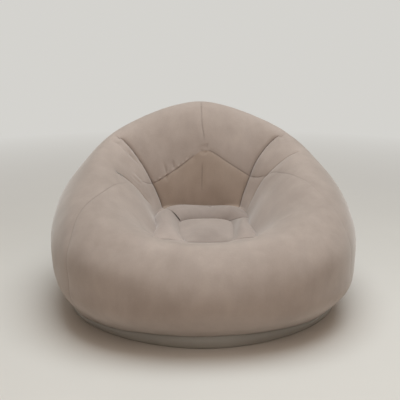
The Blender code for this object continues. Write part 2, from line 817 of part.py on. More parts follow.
def turned(name, profile, collection, colour, parent):
    """A turned solid: a closed outline of radius and height, swept once round the local Z axis."""
    mesh = bpy.data.meshes.new(name)
    corners = [(radius, 0, height) for radius, height in profile]
    edges = [(index, (index + 1) % len(corners)) for index in range(len(corners))]
    if profile[0][0] == 0 and profile[-1][0] == 0:
        edges = edges[:-1]
    mesh.from_pydata(corners, edges, [])
    piece = bpy.data.objects.new(name, mesh)
    piece.data.materials.append(colour)
    collection.objects.link(piece)
    piece.parent = parent
    sweep = piece.modifiers.new("Turn", "SCREW")
    sweep.steps = TURN_STEPS
    sweep.render_steps = TURN_STEPS
    sweep.use_merge_vertices = True
    sweep.merge_threshold = MERGE_DISTANCE
    return piece


def valve_axis(parts, lounger):
    """An empty on the skin at the valve's centre, with local Z out of the wall and local Y up it."""
    centre, normal = valve_cell(hood_points("right")[0])
    outward = Vector(normal)
    sideways = Vector((0, 0, 1)).cross(outward).normalized()
    turn = Matrix((sideways, outward.cross(sideways), outward)).transposed()
    axis = empty("valve_axis", parts, (0, 0, 0), lounger)
    axis.matrix_local = Matrix.Translation(centre) @ turn.to_4x4()
    return axis


def cut_valve_hole(panel, cutters, axis, colour):
    radius = COLLAR_RADIUS + FIT_CLEARANCE
    profile = [(0, CUT_OVERRUN), (radius, CUT_OVERRUN), (radius, -CUT_OVERRUN), (0, -CUT_OVERRUN)]
    cutter = turned("valve_hole_cutter", profile, cutters, colour, axis)
    cutter.hide_render = True
    cutter.display_type = "WIRE"
    hole = panel.modifiers.new("Valve hole", "BOOLEAN")
    hole.operation = "DIFFERENCE"
    hole.solver = "EXACT"
    hole.object = cutter


def valve_base(parts, plastic, axis):
    """The flange on the skin and the collar through it."""
    top = FIT_CLEARANCE + FLANGE_THICKNESS
    profile = [
        (BORE_RADIUS, top),
        (FLANGE_RADIUS - FLANGE_EDGE, top),
        (FLANGE_RADIUS, top - FLANGE_EDGE),
        (FLANGE_RADIUS, FIT_CLEARANCE),
        (COLLAR_RADIUS, FIT_CLEARANCE),
        (COLLAR_RADIUS, -COLLAR_DEPTH),
        (BORE_RADIUS, -COLLAR_DEPTH),
    ]
    return turned("valve_base", profile, parts, plastic, axis)


def insert_seat():
    """Height of the flange's top plus a clearance, where the insert's rim sits."""
    return 2 * FIT_CLEARANCE + FLANGE_THICKNESS


def insert_top():
    return insert_seat() + RIM_THICKNESS


def valve_insert(parts, plastic, axis):
    """The part that pulls out of the bore to let the air out fast, with the port through it."""
    sleeve = BORE_RADIUS - FIT_CLEARANCE
    plate = insert_top() - RIM_THICKNESS
    profile = [
        (PORT_RADIUS, insert_top()),
        (RIM_RADIUS, insert_top()),
        (RIM_RADIUS, insert_seat()),
        (sleeve, insert_seat()),
        (sleeve, -SLEEVE_DEPTH),
        (sleeve - SLEEVE_WALL, -SLEEVE_DEPTH),
        (sleeve - SLEEVE_WALL, plate),
        (PORT_RADIUS + PORT_WALL, plate),
        (PORT_RADIUS + PORT_WALL, -PORT_DEPTH),
        (PORT_RADIUS, -PORT_DEPTH),
    ]
    slide = empty("valve_slide", parts, (0, 0, 0), axis)
    turned("valve_insert", profile, parts, plastic, slide)
    return slide


def valve_flap(parts, silicone, slide):
    """The one-way flap over the port's inner end, hung from its upper edge."""
    hinge = empty("flap_hinge", parts, (0, FLAP_HINGE_RADIUS, flap_height()), slide)
    half = FLAP_THICKNESS / 2
    profile = [(0, half), (FLAP_RADIUS, half), (FLAP_RADIUS, -half), (0, -half)]
    flap = turned("valve_flap", profile, parts, silicone, hinge)
    flap.location = (0, -FLAP_HINGE_RADIUS, 0)


def flap_height():
    return -PORT_DEPTH - FIT_CLEARANCE - FLAP_THICKNESS / 2


def strap_height():
    return insert_top() + FIT_CLEARANCE + STRAP_BEAD_RADIUS


def valve_cap(parts, cutters, plastic, slide):
    """The plug that closes the port, on a strap that bends at a bead by the insert's rim."""
    hinge = empty("cap_hinge", parts, (0, STRAP_HINGE_RADIUS, strap_height()), slide)
    under = insert_top() + FIT_CLEARANCE - strap_height()
    plug = PORT_RADIUS - FIT_CLEARANCE
    profile = [
        (0, under + CAP_THICKNESS),
        (CAP_RADIUS - CAP_EDGE, under + CAP_THICKNESS),
        (CAP_RADIUS, under + CAP_THICKNESS - CAP_EDGE),
        (CAP_RADIUS, under),
        (plug, under),
        (plug - PLUG_TAPER, under - PLUG_DEPTH),
        (0, under - PLUG_DEPTH),
    ]
    cap = turned("valve_cap", profile, parts, plastic, hinge)
    cap.location = (0, -STRAP_HINGE_RADIUS, 0)
    for helper in (strap_tongue(cutters, plastic, hinge), strap_bead(cutters, plastic, hinge)):
        helper.hide_render = True
        helper.display_type = "WIRE"
        join = cap.modifiers.new("Join " + helper.name, "BOOLEAN")
        join.operation = "UNION"
        join.solver = "EXACT"
        join.object = helper


def strap_tongue(cutters, plastic, hinge):
    """The flat strap from the cap's edge to the bead."""
    build = bmesh.new()
    bmesh.ops.create_cube(build, size=1)
    length = STRAP_HINGE_RADIUS - CAP_RADIUS + 2 * CAP_EDGE
    bmesh.ops.scale(build, vec=(STRAP_WIDTH, length, STRAP_BEAD_RADIUS), verts=build.verts)
    bmesh.ops.translate(build, vec=(0, -length / 2, 0), verts=build.verts)
    return helper_object("strap_tongue", build, cutters, plastic, hinge)


def strap_bead(cutters, plastic, hinge):
    """The round bead on the hinge's axis."""
    build = bmesh.new()
    bmesh.ops.create_cone(
        build,
        cap_ends=True,
        segments=12,
        radius1=STRAP_BEAD_RADIUS,
        radius2=STRAP_BEAD_RADIUS,
        depth=STRAP_WIDTH + 2 * CAP_EDGE,
        matrix=Matrix.Rotation(np.pi / 2, 4, "Y"),
    )
    return helper_object("strap_bead", build, cutters, plastic, hinge)


def helper_object(name, build, cutters, plastic, parent):
    mesh = bpy.data.meshes.new(name)
    build.to_mesh(mesh)
    build.free()
    mesh.materials.append(plastic)
    made = bpy.data.objects.new(name, mesh)
    cutters.objects.link(made)
    made.parent = parent
    return made


def main():
    clear_scene()
    parts = new_collection("air_lounger_parts")
    cutters = new_collection("cutters")
    lounger = empty("air_lounger", parts, (0, 0, 0), None)
    flock = material("flocked_skin", FLOCK_COLOUR, 0.9)
    velvet = material("flocked_seat", SEAT_COLOUR, 0.92)
    band = material("plain_vinyl", BAND_COLOUR, 0.5)
    vinyl = material("clear_vinyl", WEB_COLOUR, 0.4)
    plastic = material("valve_plastic", VALVE_COLOUR, 0.4)
    silicone = material("flap_silicone", SILICONE_COLOUR, 0.5)

    front_panel(parts, flock)
    hood(parts, flock, "left")
    rear_panel = hood(parts, flock, "right")
    lower_back(parts, flock, "left")
    lower_back(parts, flock, "right")
    seat_lobe(parts, velvet, "rear", REAR_LOBE_CROWN)
    seat_lobe(parts, velvet, "right", SIDE_LOBE_CROWN)
    seat_lobe(parts, velvet, "left", SIDE_LOBE_CROWN)
    seat_lobe(parts, velvet, "front", FRONT_LOBE_CROWN)
    seat_pad(parts, velvet)
    base_sheet(parts, band)
    side_webs(parts, vinyl, "left")
    side_webs(parts, vinyl, "right")
    centre_web(parts, vinyl)
    seat_ties(parts, vinyl)

    axis = valve_axis(parts, lounger)
    cut_valve_hole(rear_panel, cutters, axis, plastic)
    valve_base(parts, plastic, axis)
    slide = valve_insert(parts, plastic, axis)
    valve_flap(parts, silicone, slide)
    valve_cap(parts, cutters, plastic, slide)
    bpy.context.view_layer.update()


main()
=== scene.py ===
"""The looks of an inflatable air lounger: flocked skins with welds, creases and folds.

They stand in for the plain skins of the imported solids. A place on the wall is an angle in degrees,
from 0 at the front to 180 at the back, and a share from 0 at the base weld, up the outer wall and
over the crest, to 1 at the edge of the seat.
"""

import math

import bpy
import numpy as np
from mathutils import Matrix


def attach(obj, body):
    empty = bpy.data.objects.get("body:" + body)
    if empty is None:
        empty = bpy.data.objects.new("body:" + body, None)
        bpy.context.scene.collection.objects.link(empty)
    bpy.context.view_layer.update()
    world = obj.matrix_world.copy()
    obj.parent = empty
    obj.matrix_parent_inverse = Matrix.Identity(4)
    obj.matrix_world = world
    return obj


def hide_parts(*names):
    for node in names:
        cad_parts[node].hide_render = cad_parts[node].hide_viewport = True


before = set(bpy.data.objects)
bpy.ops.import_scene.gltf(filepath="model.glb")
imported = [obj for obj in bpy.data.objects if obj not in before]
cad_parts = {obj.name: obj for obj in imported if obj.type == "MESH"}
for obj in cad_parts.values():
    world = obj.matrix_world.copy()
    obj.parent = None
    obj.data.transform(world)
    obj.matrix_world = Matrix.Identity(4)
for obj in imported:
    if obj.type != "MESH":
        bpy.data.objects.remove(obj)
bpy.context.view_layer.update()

# The wall: five upright sections from the front to the back, in metres
REACHES = (0.520, 0.543, 0.535, 0.576, 0.520)
CRESTS = (0.328, 0.371, 0.465, 0.578, 0.671)
WELD_RADII = (0.405, 0.420, 0.470, 0.450, 0.430)
WELD_HEIGHTS = (0.043, 0.027, 0.009, 0.009, 0.010)
SEAT_RADII = (0.228, 0.226, 0.166, 0.212, 0.192)
SEAT_HEIGHTS = (0.282, 0.277, 0.278, 0.288, 0.292)
SECTION_ANGLES = (0, 45, 90, 135, 180)
REACH_SHARES = (
    (0.92, 1.00, 0.96, 0.855, 0.72, 0.605, 0.505),
    (0.97, 1.00, 0.995, 0.89, 0.75, 0.605, 0.49),
    (0.96, 1.00, 0.975, 0.87, 0.70, 0.545, 0.40),
    (0.94, 1.00, 0.975, 0.865, 0.735, 0.58, 0.45),
    (0.945, 1.00, 0.955, 0.85, 0.65, 0.51, 0.45),
)
CREST_SHARES = (
    (0.322, 0.55, 0.785, 0.945, 1.00, 0.945, 0.885),
    (0.322, 0.525, 0.75, 0.93, 1.00, 0.95, 0.835),
    (0.255, 0.445, 0.69, 0.90, 1.00, 0.935, 0.755),
    (0.20, 0.39, 0.64, 0.845, 1.00, 0.925, 0.69),
    (0.17, 0.35, 0.595, 0.83, 1.00, 0.915, 0.67),
)

# The skin's thickness, and the gap at a seam, which opens only where the seam's shade passes a value
SKIN = 0.001
SEAM_GAP = 0.0003
SEAM_SEEN = 0.15
MEASURE_STEP = 0.001

# The fullness of the back's cushion: how far it stands forward, how much it also rises, where it
# starts on the wall, how low its fullest place lies, and over which angles it comes in
BACK_FULLNESS = 0.028
BACK_FULLNESS_RISE_SHARE = 0.2
BACK_FULLNESS_START_SHARE = 0.66
BACK_FULLNESS_POWER = 1.6
BACK_FULLNESS_ANGLES = (130, 160)

# The belt seam, as angle and wall share, and the other lines, as wall share and angle
BELT_SHARES = {
    "left": (
        (55.0, 0.00), (54.8, 0.10), (54.8, 0.20), (55.0, 0.30), (55.8, 0.40), (59.0, 0.465),
        (64.0, 0.53), (70.0, 0.61), (76.5, 0.67), (84.8, 0.72), (94.5, 0.769), (104.0, 0.802),
        (115.0, 0.829), (125.0, 0.852), (131.0, 0.871), (137.0, 0.883), (143.0, 0.884), (148.0, 0.880),
        (154.0, 0.875), (162.0, 0.867), (171.0, 0.8545), (180.0, 0.839),
    ),
    "right": (
        (62.0, 0.00), (61.5, 0.10), (60.8, 0.20), (59.5, 0.30), (59.5, 0.40), (63.0, 0.49),
        (69.0, 0.56), (75.0, 0.605), (81.8, 0.646), (89.0, 0.695), (98.0, 0.741), (106.0, 0.773),
        (115.0, 0.80), (121.0, 0.824), (127.0, 0.846), (133.0, 0.859), (138.0, 0.862), (144.0, 0.8595),
        (152.0, 0.854), (161.0, 0.8455), (171.0, 0.8365), (180.0, 0.839),
    ),
}
BELT_CORNER_SHARE = 0.773
BELT_BLEND_POWER = 4
BACK_CREASE_SHARES = {
    "left": (
        (0.0, 129.0), (0.60, 128.0), (0.684, 129.2), (0.75, 131.2), (0.804, 133.2),
        (0.85, 135.3), (0.90, 137.5), (0.955, 139.9), (1.0, 141.8),
    ),
    "right": (
        (0.0, 129.0), (0.60, 127.6), (0.68, 129.2), (0.74, 132.1), (0.794, 134.5),
        (0.835, 136.2), (0.88, 137.3), (0.93, 138.9), (1.0, 141.2),
    ),
}
ARM_CREASE_SHARES = {
    "left": (
        (0.0, 88.0), (0.30, 90.0), (0.50, 93.0), (0.65, 97.0), (0.749, 103.7), (0.785, 107.6),
        (0.82, 111.5), (0.878, 117.5), (0.937, 122.2), (1.0, 125.5),
    ),
    "right": (
        (0.0, 92.0), (0.30, 97.0), (0.50, 104.0), (0.659, 111.8), (0.738, 114.7), (0.799, 118.9),
        (0.841, 123.2), (0.894, 126.3), (0.945, 127.3), (1.0, 126.0),
    ),
}
CENTRE_SEAM_SHARES = (
    (0.0, 180.0), (0.35, 180.0), (0.60, 179.0), (0.69, 178.6), (0.75, 178.4), (0.785, 177.3),
    (0.812, 176.0), (0.838, 176.8), (0.869, 177.9), (0.91, 178.6), (1.0, 179.2),
)
CENTRE_ANGLE = 180.0
CENTRE_SEAM_END_SHARE = 0.96

# Points along the lines, and the rounds that find where a crease crosses a row
BELT_STEPS = 600
CREASE_STEPS = 300
CREASE_GROOVE_STEPS = 200
CENTRE_GROOVE_STEPS = 400
BEAD_STEPS = 400
FOLD_STEPS = 60
CROSSING_ROUNDS = 10

# Groove forms: depth and width of the sharp part, then of its soft shoulders
BACK_CREASE_FORM = (0.0125, 0.006, 0.0095, 0.032)
ARM_CREASE_FORM = (0.0045, 0.0045, 0.0045, 0.024)
BELT_FORM = (0.0018, 0.0022, 0.0014, 0.012)
CENTRE_FORM = (0.0010, 0.0022, 0.0010, 0.011)
FOLD_FORM = (0.0022, 0.0026, 0.0018, 0.009)
SMALL_FOLD_FORM = (0.0014, 0.0022, 0.0010, 0.007)
RIDGE_FORM = (0.0, 0.002, 0.0022, 0.0055)
BEAD_FORM = (0.0, 0.002, 0.0028, 0.0034)
SEAM_SHADE_WIDTH = 0.0018

# A groove is left out beyond so many of its widths, and measured on so many points at a time
SHARP_REACH = 6
SOFT_REACH = 3
POINTS_AT_A_TIME = 4000

# How strongly each seam draws the skin in and how dark it looks: the belt by angle, the centre by
# wall share. Creases have their first and last wall share, and the shares over which they fade
BELT_STRENGTHS = {
    "left": (
        (54, 0.5), (75, 0.5), (98, 0.35), (104, 0.1), (122, 0.1), (127, 0.6), (136, 0.9),
        (172, 0.9), (174, 0),
    ),
    "right": ((54, 0.3), (82, 0.3), (100, 0.5), (118, 0.6), (130, 0.9), (170, 0.9), (173, 0)),
}
BELT_SHADES = {
    "left": (
        (54, 0.45), (80, 0.4), (96, 0.3), (102, 0), (124, 0), (127, 0.6), (133, 0.6), (137, 0.45),
        (172, 0.4), (174, 0),
    ),
    "right": (
        (54, 0.1), (80, 0.05), (90, 0.35), (107, 0.5), (111, 0.25), (119, 0.3), (136, 0.7),
        (170, 0.6), (173, 0),
    ),
}
CENTRE_STRENGTHS = (
    (0, 0.6), (0.56, 0.6), (0.62, 0.2), (0.68, 0.8), (0.79, 1), (0.81, 0), (0.865, 0),
    (0.885, 1.3), (0.93, 1.2), (0.955, 0),
)
CENTRE_SHADE = 0.5
BACK_CREASE_RUN = (0.645, 1.0, (0.22, 0.05))
BACK_CREASE_SHADE = 1.0
ARM_CREASE_RUNS = {"left": (0.725, 0.965, (0.12, 0.30)), "right": (0.64, 1.0, (0.15, 0.25))}
ARM_CREASE_SHADE = 0.55

# The beads beside the belt seam: from and to which angle, how many, how far above the seam, how unevenly
# spaced, their mean height, the shares over which they fade, and their painted highlight
BEAD_ANGLES = (137.0, 171.0)
BEAD_COUNT = 7
BEAD_LIFT_SHARE = 0.005
BEAD_WANDER = 1.6
BEAD_WANDER_TURN = 9
BEAD_MEAN = 0.45
BEAD_FADE_SHARE = 0.06
BEAD_PAINTED_HIGHLIGHT = -0.6

# The slow waves of blown skin: their way and pace in radians a metre, their phase and their height
SWAY_WAVES = (
    ((31.0, 12.0, 23.0), 0.3, 0.0004),
    ((-14.0, 37.0, 19.0), 1.7, 0.0004),
    ((47.0, -29.0, 41.0), 2.9, 0.0003),
    ((-58.0, 43.0, 61.0), 4.1, 0.00015),
)

# Painted light and shade over broad parts of the wall, paler on the tops of the front roll and the back
# and darker near 65 degrees: angle and spread, wall share and spread, and how much darker it is painted
# there
PAINTED_LIGHT_AREAS = (
    (0.0, 36.0, 0.59, 0.055, -0.22),
    (160.0, 55.0, 0.61, 0.10, -0.26),
    (65.0, 26.0, 0.68, 0.12, 0.14),
)

# The weld spot: place on the wall, radius, how much of that is flat, dent, how much paler its flattened
# pile is, and the short puckers that run up to it, with the painted shade along them
SPOT_PLACE = (176.9, 0.836)
SPOT_RADIUS = 0.023
SPOT_FLAT_SHARE = 0.5
SPOT_DENT = 0.0014
SPOT_PALENESS = 0.08
SPOT_PUCKERS = (
    ((179.6, 0.846), (178.6, 0.839), (178.0, 0.836)),
    ((176.4, 0.838), (174.8, 0.840), (173.0, 0.838)),
    ((174.4, 0.832), (173.4, 0.824), (173.2, 0.818)),
)
PUCKER_STRENGTH = 0.8
PUCKER_LINE_SHADE = 0.22

# Fine grid: steps across each stretch between seams, and how they crowd towards the seams
WALL_ROWS = 190
ROW_GRADE = 1.2
SEAT_ROWS = 44
WIDE_COLUMNS = 56
FINE_COLUMNS = 120
FINE_COLUMN_SHARE = 0.72
SIDE_COLUMNS = 34
REAR_COLUMNS = 84
EVEN_SHARE = 0.25
REAR_GRADE = 1.6

# The seat's pad: half widths, reach, edge height with its slope, how far its corners are drawn in,
# and its crown with the crest's place
PAD_HALF_WIDTHS = {"rear": 0.102, "front": 0.086}
PAD_REACHES = {"rear": 0.095, "front": -0.150}
PAD_CENTRE_X = 0.010
PAD_CENTRE_Y = (PAD_REACHES["rear"] + PAD_REACHES["front"]) / 2
PAD_VALLEY_HEIGHT = 0.267
PAD_SLOPE = 0.04
PAD_CORNER_SHARE = 0.86
PAD_CORNER_BEND = 4
PAD_CROWN = 0.024
PAD_CREST_Y = 0.01
PAD_RINGS = 44
PAD_RING_GRADE = 1.3
PAD_ORDER = ("rear", "right", "front", "left")

# How squarely the pad rises from each side and from its corners, the painted shade along its edge valleys
# and over its front, and the painted light over the whole of it
PAD_POWERS = {"rear": 0.75, "right": 1.25, "front": 0.8, "left": 1.25}
PAD_CORNER_POWER = 0.9
PAD_EDGE_SHADES = {"rear": 0.3, "right": 0.26, "front": 0.8, "left": 0.26}
PAD_CORNER_SHADE = 0.25
PAD_SPREAD_POWER = 4
PAD_EDGE_ROWS = 9
PAD_PAINTED_LIGHT = -0.12
PAD_FRONT_SHADE = 0.36

# The ring of lobes: crown at mid length, then for both ends, clockwise, the crown at the mitre, how
# squarely it gets there and the mitre's shade, and last how the lobe's arch leans and flattens out
LOBE_ROWS = 44
LOBES = {
    "rear": (0.035, (0.026, 0.004), (10, 7), (0.6, 0.9), (1.0, 0.8, 0.8)),
    "right": (0.024, (0.004, 0.004), (2.5, 3), (0.8, 0), (0.85, 0.8, 1.5)),
    "front": (0.004, (0.003, 0.003), (4, 4), (0, 0), (1.0, 0.8, 0.7)),
    "left": (0.029, (0.004, 0.026), (3, 6), (0, 0.6), (0.85, 0.8, 1.3)),
}
MITRE_SHADE_WIDTH = 0.0028

# Each lobe's painted light and shade at its two ends, darker above zero and paler below, its shade along
# the wall, and the painted shade along the pad
LOBE_PAINTED_LIGHT = {
    "rear": (0.15, 0.28), "right": (0.34, -0.18), "front": (-0.2, -0.2), "left": (-0.34, 0.06),
}
LOBE_WALL_SHADE = 0.5
FOOT_SHADES = {"rear": 0.45, "right": 0.2, "front": 0, "left": 0.2}
FOOT_SHADE_POWER = 8

# Where the lobes meet on the wall's foot, as column shares, the dip in the rear lobe's middle, and its
# pucker: place and size along and across the lobe, its depth and the painted shade in it
SEAT_CORNER_SHARE = 0.36
SEAT_REAR_SHARES = {"left": 0.94, "right": 0.80}
REAR_DIP_SHARE = 0.27
REAR_DIP_WIDTH = 0.42
PUCKER_PLACE = (0.06, 0.40)
PUCKER_SIZE = (0.05, 0.10)
PUCKER_DEPTH = 0.006
PUCKER_SHADE = 0.32

# The band: bulge and rise from the weld down to the floor, as shares of the weld's height, and the
# rings of the flat sheet inside it
BAND_SHARES = (
    (0.0, 1.0), (0.06, 0.92), (0.12, 0.76), (0.155, 0.58), (0.16, 0.42),
    (0.145, 0.26), (0.10, 0.12), (0.05, 0.04), (-0.02, 0.01),
)
BAND_STEPS = 26
BAND_TUCK = 0.008
BASE_RING_SHARES = (0.7, 0.35)

# The valve's flange is welded flat to the skin, which goes over into the wall around it
VALVE_CENTRE = np.array((0.186991, 0.498565, 0.180266))
VALVE_AXIS = np.array((0.17316, 0.96261, -0.20834))
VALVE_HOLE_RADIUS = 0.0235
VALVE_FLAT_RADIUS = 0.036
VALVE_BLEND_RADIUS = 0.075

# Flock: the pale and the dark colour of each zone, then for its patches, its brushing, its grain and
# its pile the waves a metre, and how far they change the tone or stand up
FLOCK_COLOURS = {
    "flocked_skin": ((0.405, 0.322, 0.278, 1.0), (0.362, 0.285, 0.244, 1.0)),
    # The lower back's flock is the skin's flock painted darker and browner, as painted shade in the
    # recess
    "flocked_back_painted_shade": ((0.379, 0.288, 0.232, 1.0), (0.339, 0.255, 0.204, 1.0)),
    # The seat's flock is the skin's flock painted a little darker and more neutral, as painted shade on
    # the seat
    "flocked_seat": ((0.368, 0.296, 0.260, 1.0), (0.332, 0.264, 0.230, 1.0)),
}
PATCH_WAVES = 7.0
PATCH_RANGE = (0.35, 0.65)
BRUSH_WAVES = 26.0
BRUSH_STRETCH = (1.0, 1.0, 0.45)
BRUSH_SWING = 0.045
GRAIN_WAVES = 650.0
GRAIN_SWING = 0.07
PILE_WAVES = 480.0
PILE_HEIGHT = 0.0006
SHADE_FACTORS = (1.45, 0.55)

# Vinyl, plastic and silicone: colour, roughness and cloudiness of each, then the waves a metre of
# clouds, shine and grain
VINYLS = {
    "base_vinyl": ((0.362, 0.336, 0.304, 1.0), 0.42, 0.05),
    "web_vinyl": ((0.45, 0.44, 0.42, 1.0), 0.4, 0.04),
    "valve_plastic": ((0.16, 0.155, 0.15, 1.0), 0.38, 0.04),
    "flap_silicone": ((0.55, 0.54, 0.52, 1.0), 0.45, 0.03),
}
CLOUD_WAVES = 9.0
SHINE_WAVES = 30.0
SHINE_SWING = 0.06
VINYL_GRAIN_WAVES = 700.0
VINYL_GRAIN_HEIGHT = 0.0004

# The range that most values of a noise texture fill
NOISE_RANGE = (0.3, 0.7)

# The floor lies just under the lounger, and goes over into the pale surround between two distances
FLOOR_REACH = 240.0
FLOOR_DROP = 0.0002
FLOOR_COLOUR = (0.68, 0.63, 0.58, 1.0)
FLOOR_CLOUD_WAVES = 2.0
FLOOR_CLOUD_SWING = 0.015
FLOOR_FADE_START = 1.1
FLOOR_FADE_END = 3.6
SURROUND_COLOUR = (0.66, 0.65, 0.62, 1.0)

# The soft light from all around, and the lamps: place, power and colour
SOFT_COLOUR = (1.0, 0.87, 0.73, 1.0)
SOFT_STRENGTH = 0.26
LAMP_AIM = (0, 0, 0.3)
LAMP_SIZE = 3.0
LAMPS = {
    "top_light": ((0.3, -0.3, 3.4), 98, (0.815, 0.935, 1.0)),
    "front_light": ((0.3, -2.4, 3.0), 30, (1.0, 0.93, 0.85)),
}

# The camera, from a fit of the outline
CAMERA_AZIMUTH = -3.0
CAMERA_DISTANCE = 2.6456
CAMERA_HEIGHT = 1.0825
CAMERA_PITCH = 15.0
CAMERA_TURN = 2.743
CAMERA_LENS = 70.2
CAMERA_SENSOR = 36.0


def smooth_step(value):
    value = np.clip(value, 0, 1)
    return value * value * (3 - 2 * value)


def unit(vectors):
    return vectors / np.linalg.norm(vectors, axis=-1, keepdims=True)


def spline_bends(values):
    """Second differences that make a natural cubic through evenly spaced values, along axis 0."""
    count = len(values)
    system = np.eye(count)
    right = np.zeros_like(values)
    for row in range(1, count - 1):
        system[row, row - 1 : row + 2] = 1, 4, 1
        right[row] = 6 * (values[row - 1] - 2 * values[row] + values[row + 1])
    return np.linalg.solve(system, right.reshape(count, -1)).reshape(values.shape)


def spline_at(values, bends, share):
    """Points at shares 0 to 1 along the natural cubic through evenly spaced values."""
    place = np.clip(share, 0, 1) * (len(values) - 1)
    first = np.minimum(place.astype(int), len(values) - 2)
    after = (place - first).reshape(place.shape + (1,) * (values.ndim - 1))
    before = 1 - after
    straight = before * values[first] + after * values[first + 1]
    lower = (before**3 - before) * bends[first] / 6
    upper = (after**3 - after) * bends[first + 1] / 6
    return straight + lower + upper


def section_points():
    """Nine points of each section, from weld to seat edge: array of 9 x 5 x (radius, height)."""
    sections = []
    for index in range(len(SECTION_ANGLES)):
        radii = [REACHES[index] * share for share in REACH_SHARES[index]]
        heights = [CRESTS[index] * share for share in CREST_SHARES[index]]
        radii = [WELD_RADII[index]] + radii + [SEAT_RADII[index]]
        heights = [WELD_HEIGHTS[index]] + heights + [SEAT_HEIGHTS[index]]
        sections.append(list(zip(radii, heights)))
    return np.swapaxes(np.array(sections), 0, 1)


SECTIONS = section_points()
SECTION_BENDS = spline_bends(SECTIONS)
HARMONICS = np.arange(len(SECTION_ANGLES))
HARMONIC_WEIGHTS = np.linalg.inv(np.cos(np.radians(np.outer(SECTION_ANGLES, HARMONICS))))


def back_fullness(angle, share):
    """How far the blown back stands forward of the sections between its two deep creases."""
    place = np.clip((share - BACK_FULLNESS_START_SHARE) / (1 - BACK_FULLNESS_START_SHARE), 0, 1)
    first, full = BACK_FULLNESS_ANGLES
    swell = np.sin(np.pi * place**BACK_FULLNESS_POWER)
    return BACK_FULLNESS * swell * smooth_step((angle - first) / (full - first))


def wall_point(angle, share):
    """Points of the smooth wall, before its seams draw it in."""
    angle, share = np.broadcast_arrays(np.asarray(angle, float), np.asarray(share, float))
    weights = np.cos(np.radians(angle)[..., None] * HARMONICS) @ HARMONIC_WEIGHTS
    outline = (weights[..., None] * spline_at(SECTIONS, SECTION_BENDS, share)).sum(axis=-2)
    fullness = back_fullness(angle, share)
    radius = outline[..., 0] - fullness
    height = outline[..., 1] + BACK_FULLNESS_RISE_SHARE * fullness
    turn = np.radians(angle)
    return np.stack([radius * np.sin(turn), -radius * np.cos(turn), height], axis=-1)


def wall_normal(angle, share):
    """Unit vectors out of the smooth wall."""
    share = np.clip(share, MEASURE_STEP, 1 - MEASURE_STEP)
    round_wall = wall_point(angle + MEASURE_STEP, share) - wall_point(angle - MEASURE_STEP, share)
    up_wall = wall_point(angle, share + MEASURE_STEP) - wall_point(angle, share - MEASURE_STEP)
    return unit(np.cross(round_wall, up_wall))


def smooth_path(knots, count):
    """Points close together along a natural cubic through a line's knots."""
    knots = np.array(knots, float)
    return spline_at(knots, spline_bends(knots), np.linspace(0, 1, count))


BELTS = {side: smooth_path(knots, BELT_STEPS) for side, knots in BELT_SHARES.items()}
SIDE_FLIPS = {"left": np.array([-1, 1, 1]), "right": np.array([1, 1, 1])}


def belt_share(angle, side):
    return np.interp(angle, BELTS[side][:, 0], BELTS[side][:, 1])


def belt_angle(share, side):
    """Where the climbing part of the belt seam, up to its corner, has a wall share."""
    climb = BELTS[side][: int(BELTS[side][:, 1].argmax()) + 1]
    return float(np.interp(share, climb[:, 1], climb[:, 0]))


BELT_CORNER_ANGLES = {side: belt_angle(BELT_CORNER_SHARE, side) for side in BELTS}
BACK_CREASES = {side: smooth_path(knots, CREASE_STEPS) for side, knots in BACK_CREASE_SHARES.items()}
ARM_CREASES = {side: smooth_path(knots, CREASE_STEPS) for side, knots in ARM_CREASE_SHARES.items()}
CENTRE_SEAM = smooth_path(CENTRE_SEAM_SHARES, CREASE_STEPS)


def crease_angle(crease, share):
    return np.interp(share, crease[:, 0], crease[:, 1])


def row_share(row, angle, side):
    """The wall share at an angle on a hood row. The top row, at the corner's share, is the belt seam."""
    rise = np.where(angle > BELT_CORNER_ANGLES[side], belt_share(angle, side) / BELT_CORNER_SHARE - 1, 0)
    return row * (1 + rise * (row / BELT_CORNER_SHARE) ** BELT_BLEND_POWER)


def centre_angle(share, side):
    """Where the upright seam between the two hoods runs: beyond 180 degrees as the left half counts."""
    angle = np.interp(share, CENTRE_SEAM[:, 0], CENTRE_SEAM[:, 1])
    return angle if side == "right" else 360 - angle


def crease_on_row(crease, row, side):
    angle = crease_angle(crease, row)
    for _ in range(CROSSING_ROUNDS):
        angle = crease_angle(crease, row_share(row, angle, side))
    return float(angle)


class Groove:
    """A line on the wall that draws it in, or raises it where its strengths are below zero."""

    def __init__(self, angles, shares, strength, form, shade=0.0):
        self.path = wall_point(angles, shares)
        self.strength = strength
        self.shade = np.broadcast_to(shade, strength.shape)
        self.sharp, self.sharp_width, self.soft, self.soft_width = form
        self.reach = max(SHARP_REACH * self.sharp_width, SOFT_REACH * self.soft_width)

    def measure(self, points):
        """How far each point is drawn in, and how strongly it is shaded by the line."""
        flat = points.reshape(-1, 3)
        depth, shade = np.zeros(len(flat)), np.zeros(len(flat))
        low, high = self.path.min(axis=0) - self.reach, self.path.max(axis=0) + self.reach
        near = np.flatnonzero(((flat > low) & (flat < high)).all(axis=1))
        for part in np.array_split(near, max(1, len(near) // POINTS_AT_A_TIME)):
            away = np.linalg.norm(flat[part][:, None] - self.path, axis=-1)
            nearest = away.argmin(axis=1)
            away = away.min(axis=1)
            sharp = self.sharp * np.exp(-away / self.sharp_width)
            soft = self.soft * np.exp(-((away / self.soft_width) ** 2))
            depth[part] = self.strength[nearest] * (sharp + soft)
            shade[part] = self.shade[nearest] * np.exp(-((away / SEAM_SHADE_WIDTH) ** 2))
        return depth.reshape(points.shape[:-1]), shade.reshape(points.shape[:-1])


def faded(count, start, end):
    """Strengths along a line that rise over its first share and fall over its last."""
    place = np.linspace(0, 1, count)
    return smooth_step(place / start) * smooth_step((1 - place) / end)


def crease_groove(crease, start, end, fades, form, shade):
    shares = np.linspace(start, end, CREASE_GROOVE_STEPS)
    strength = faded(CREASE_GROOVE_STEPS, *fades)
    return Groove(crease_angle(crease, shares), shares, strength, form, shade * strength)


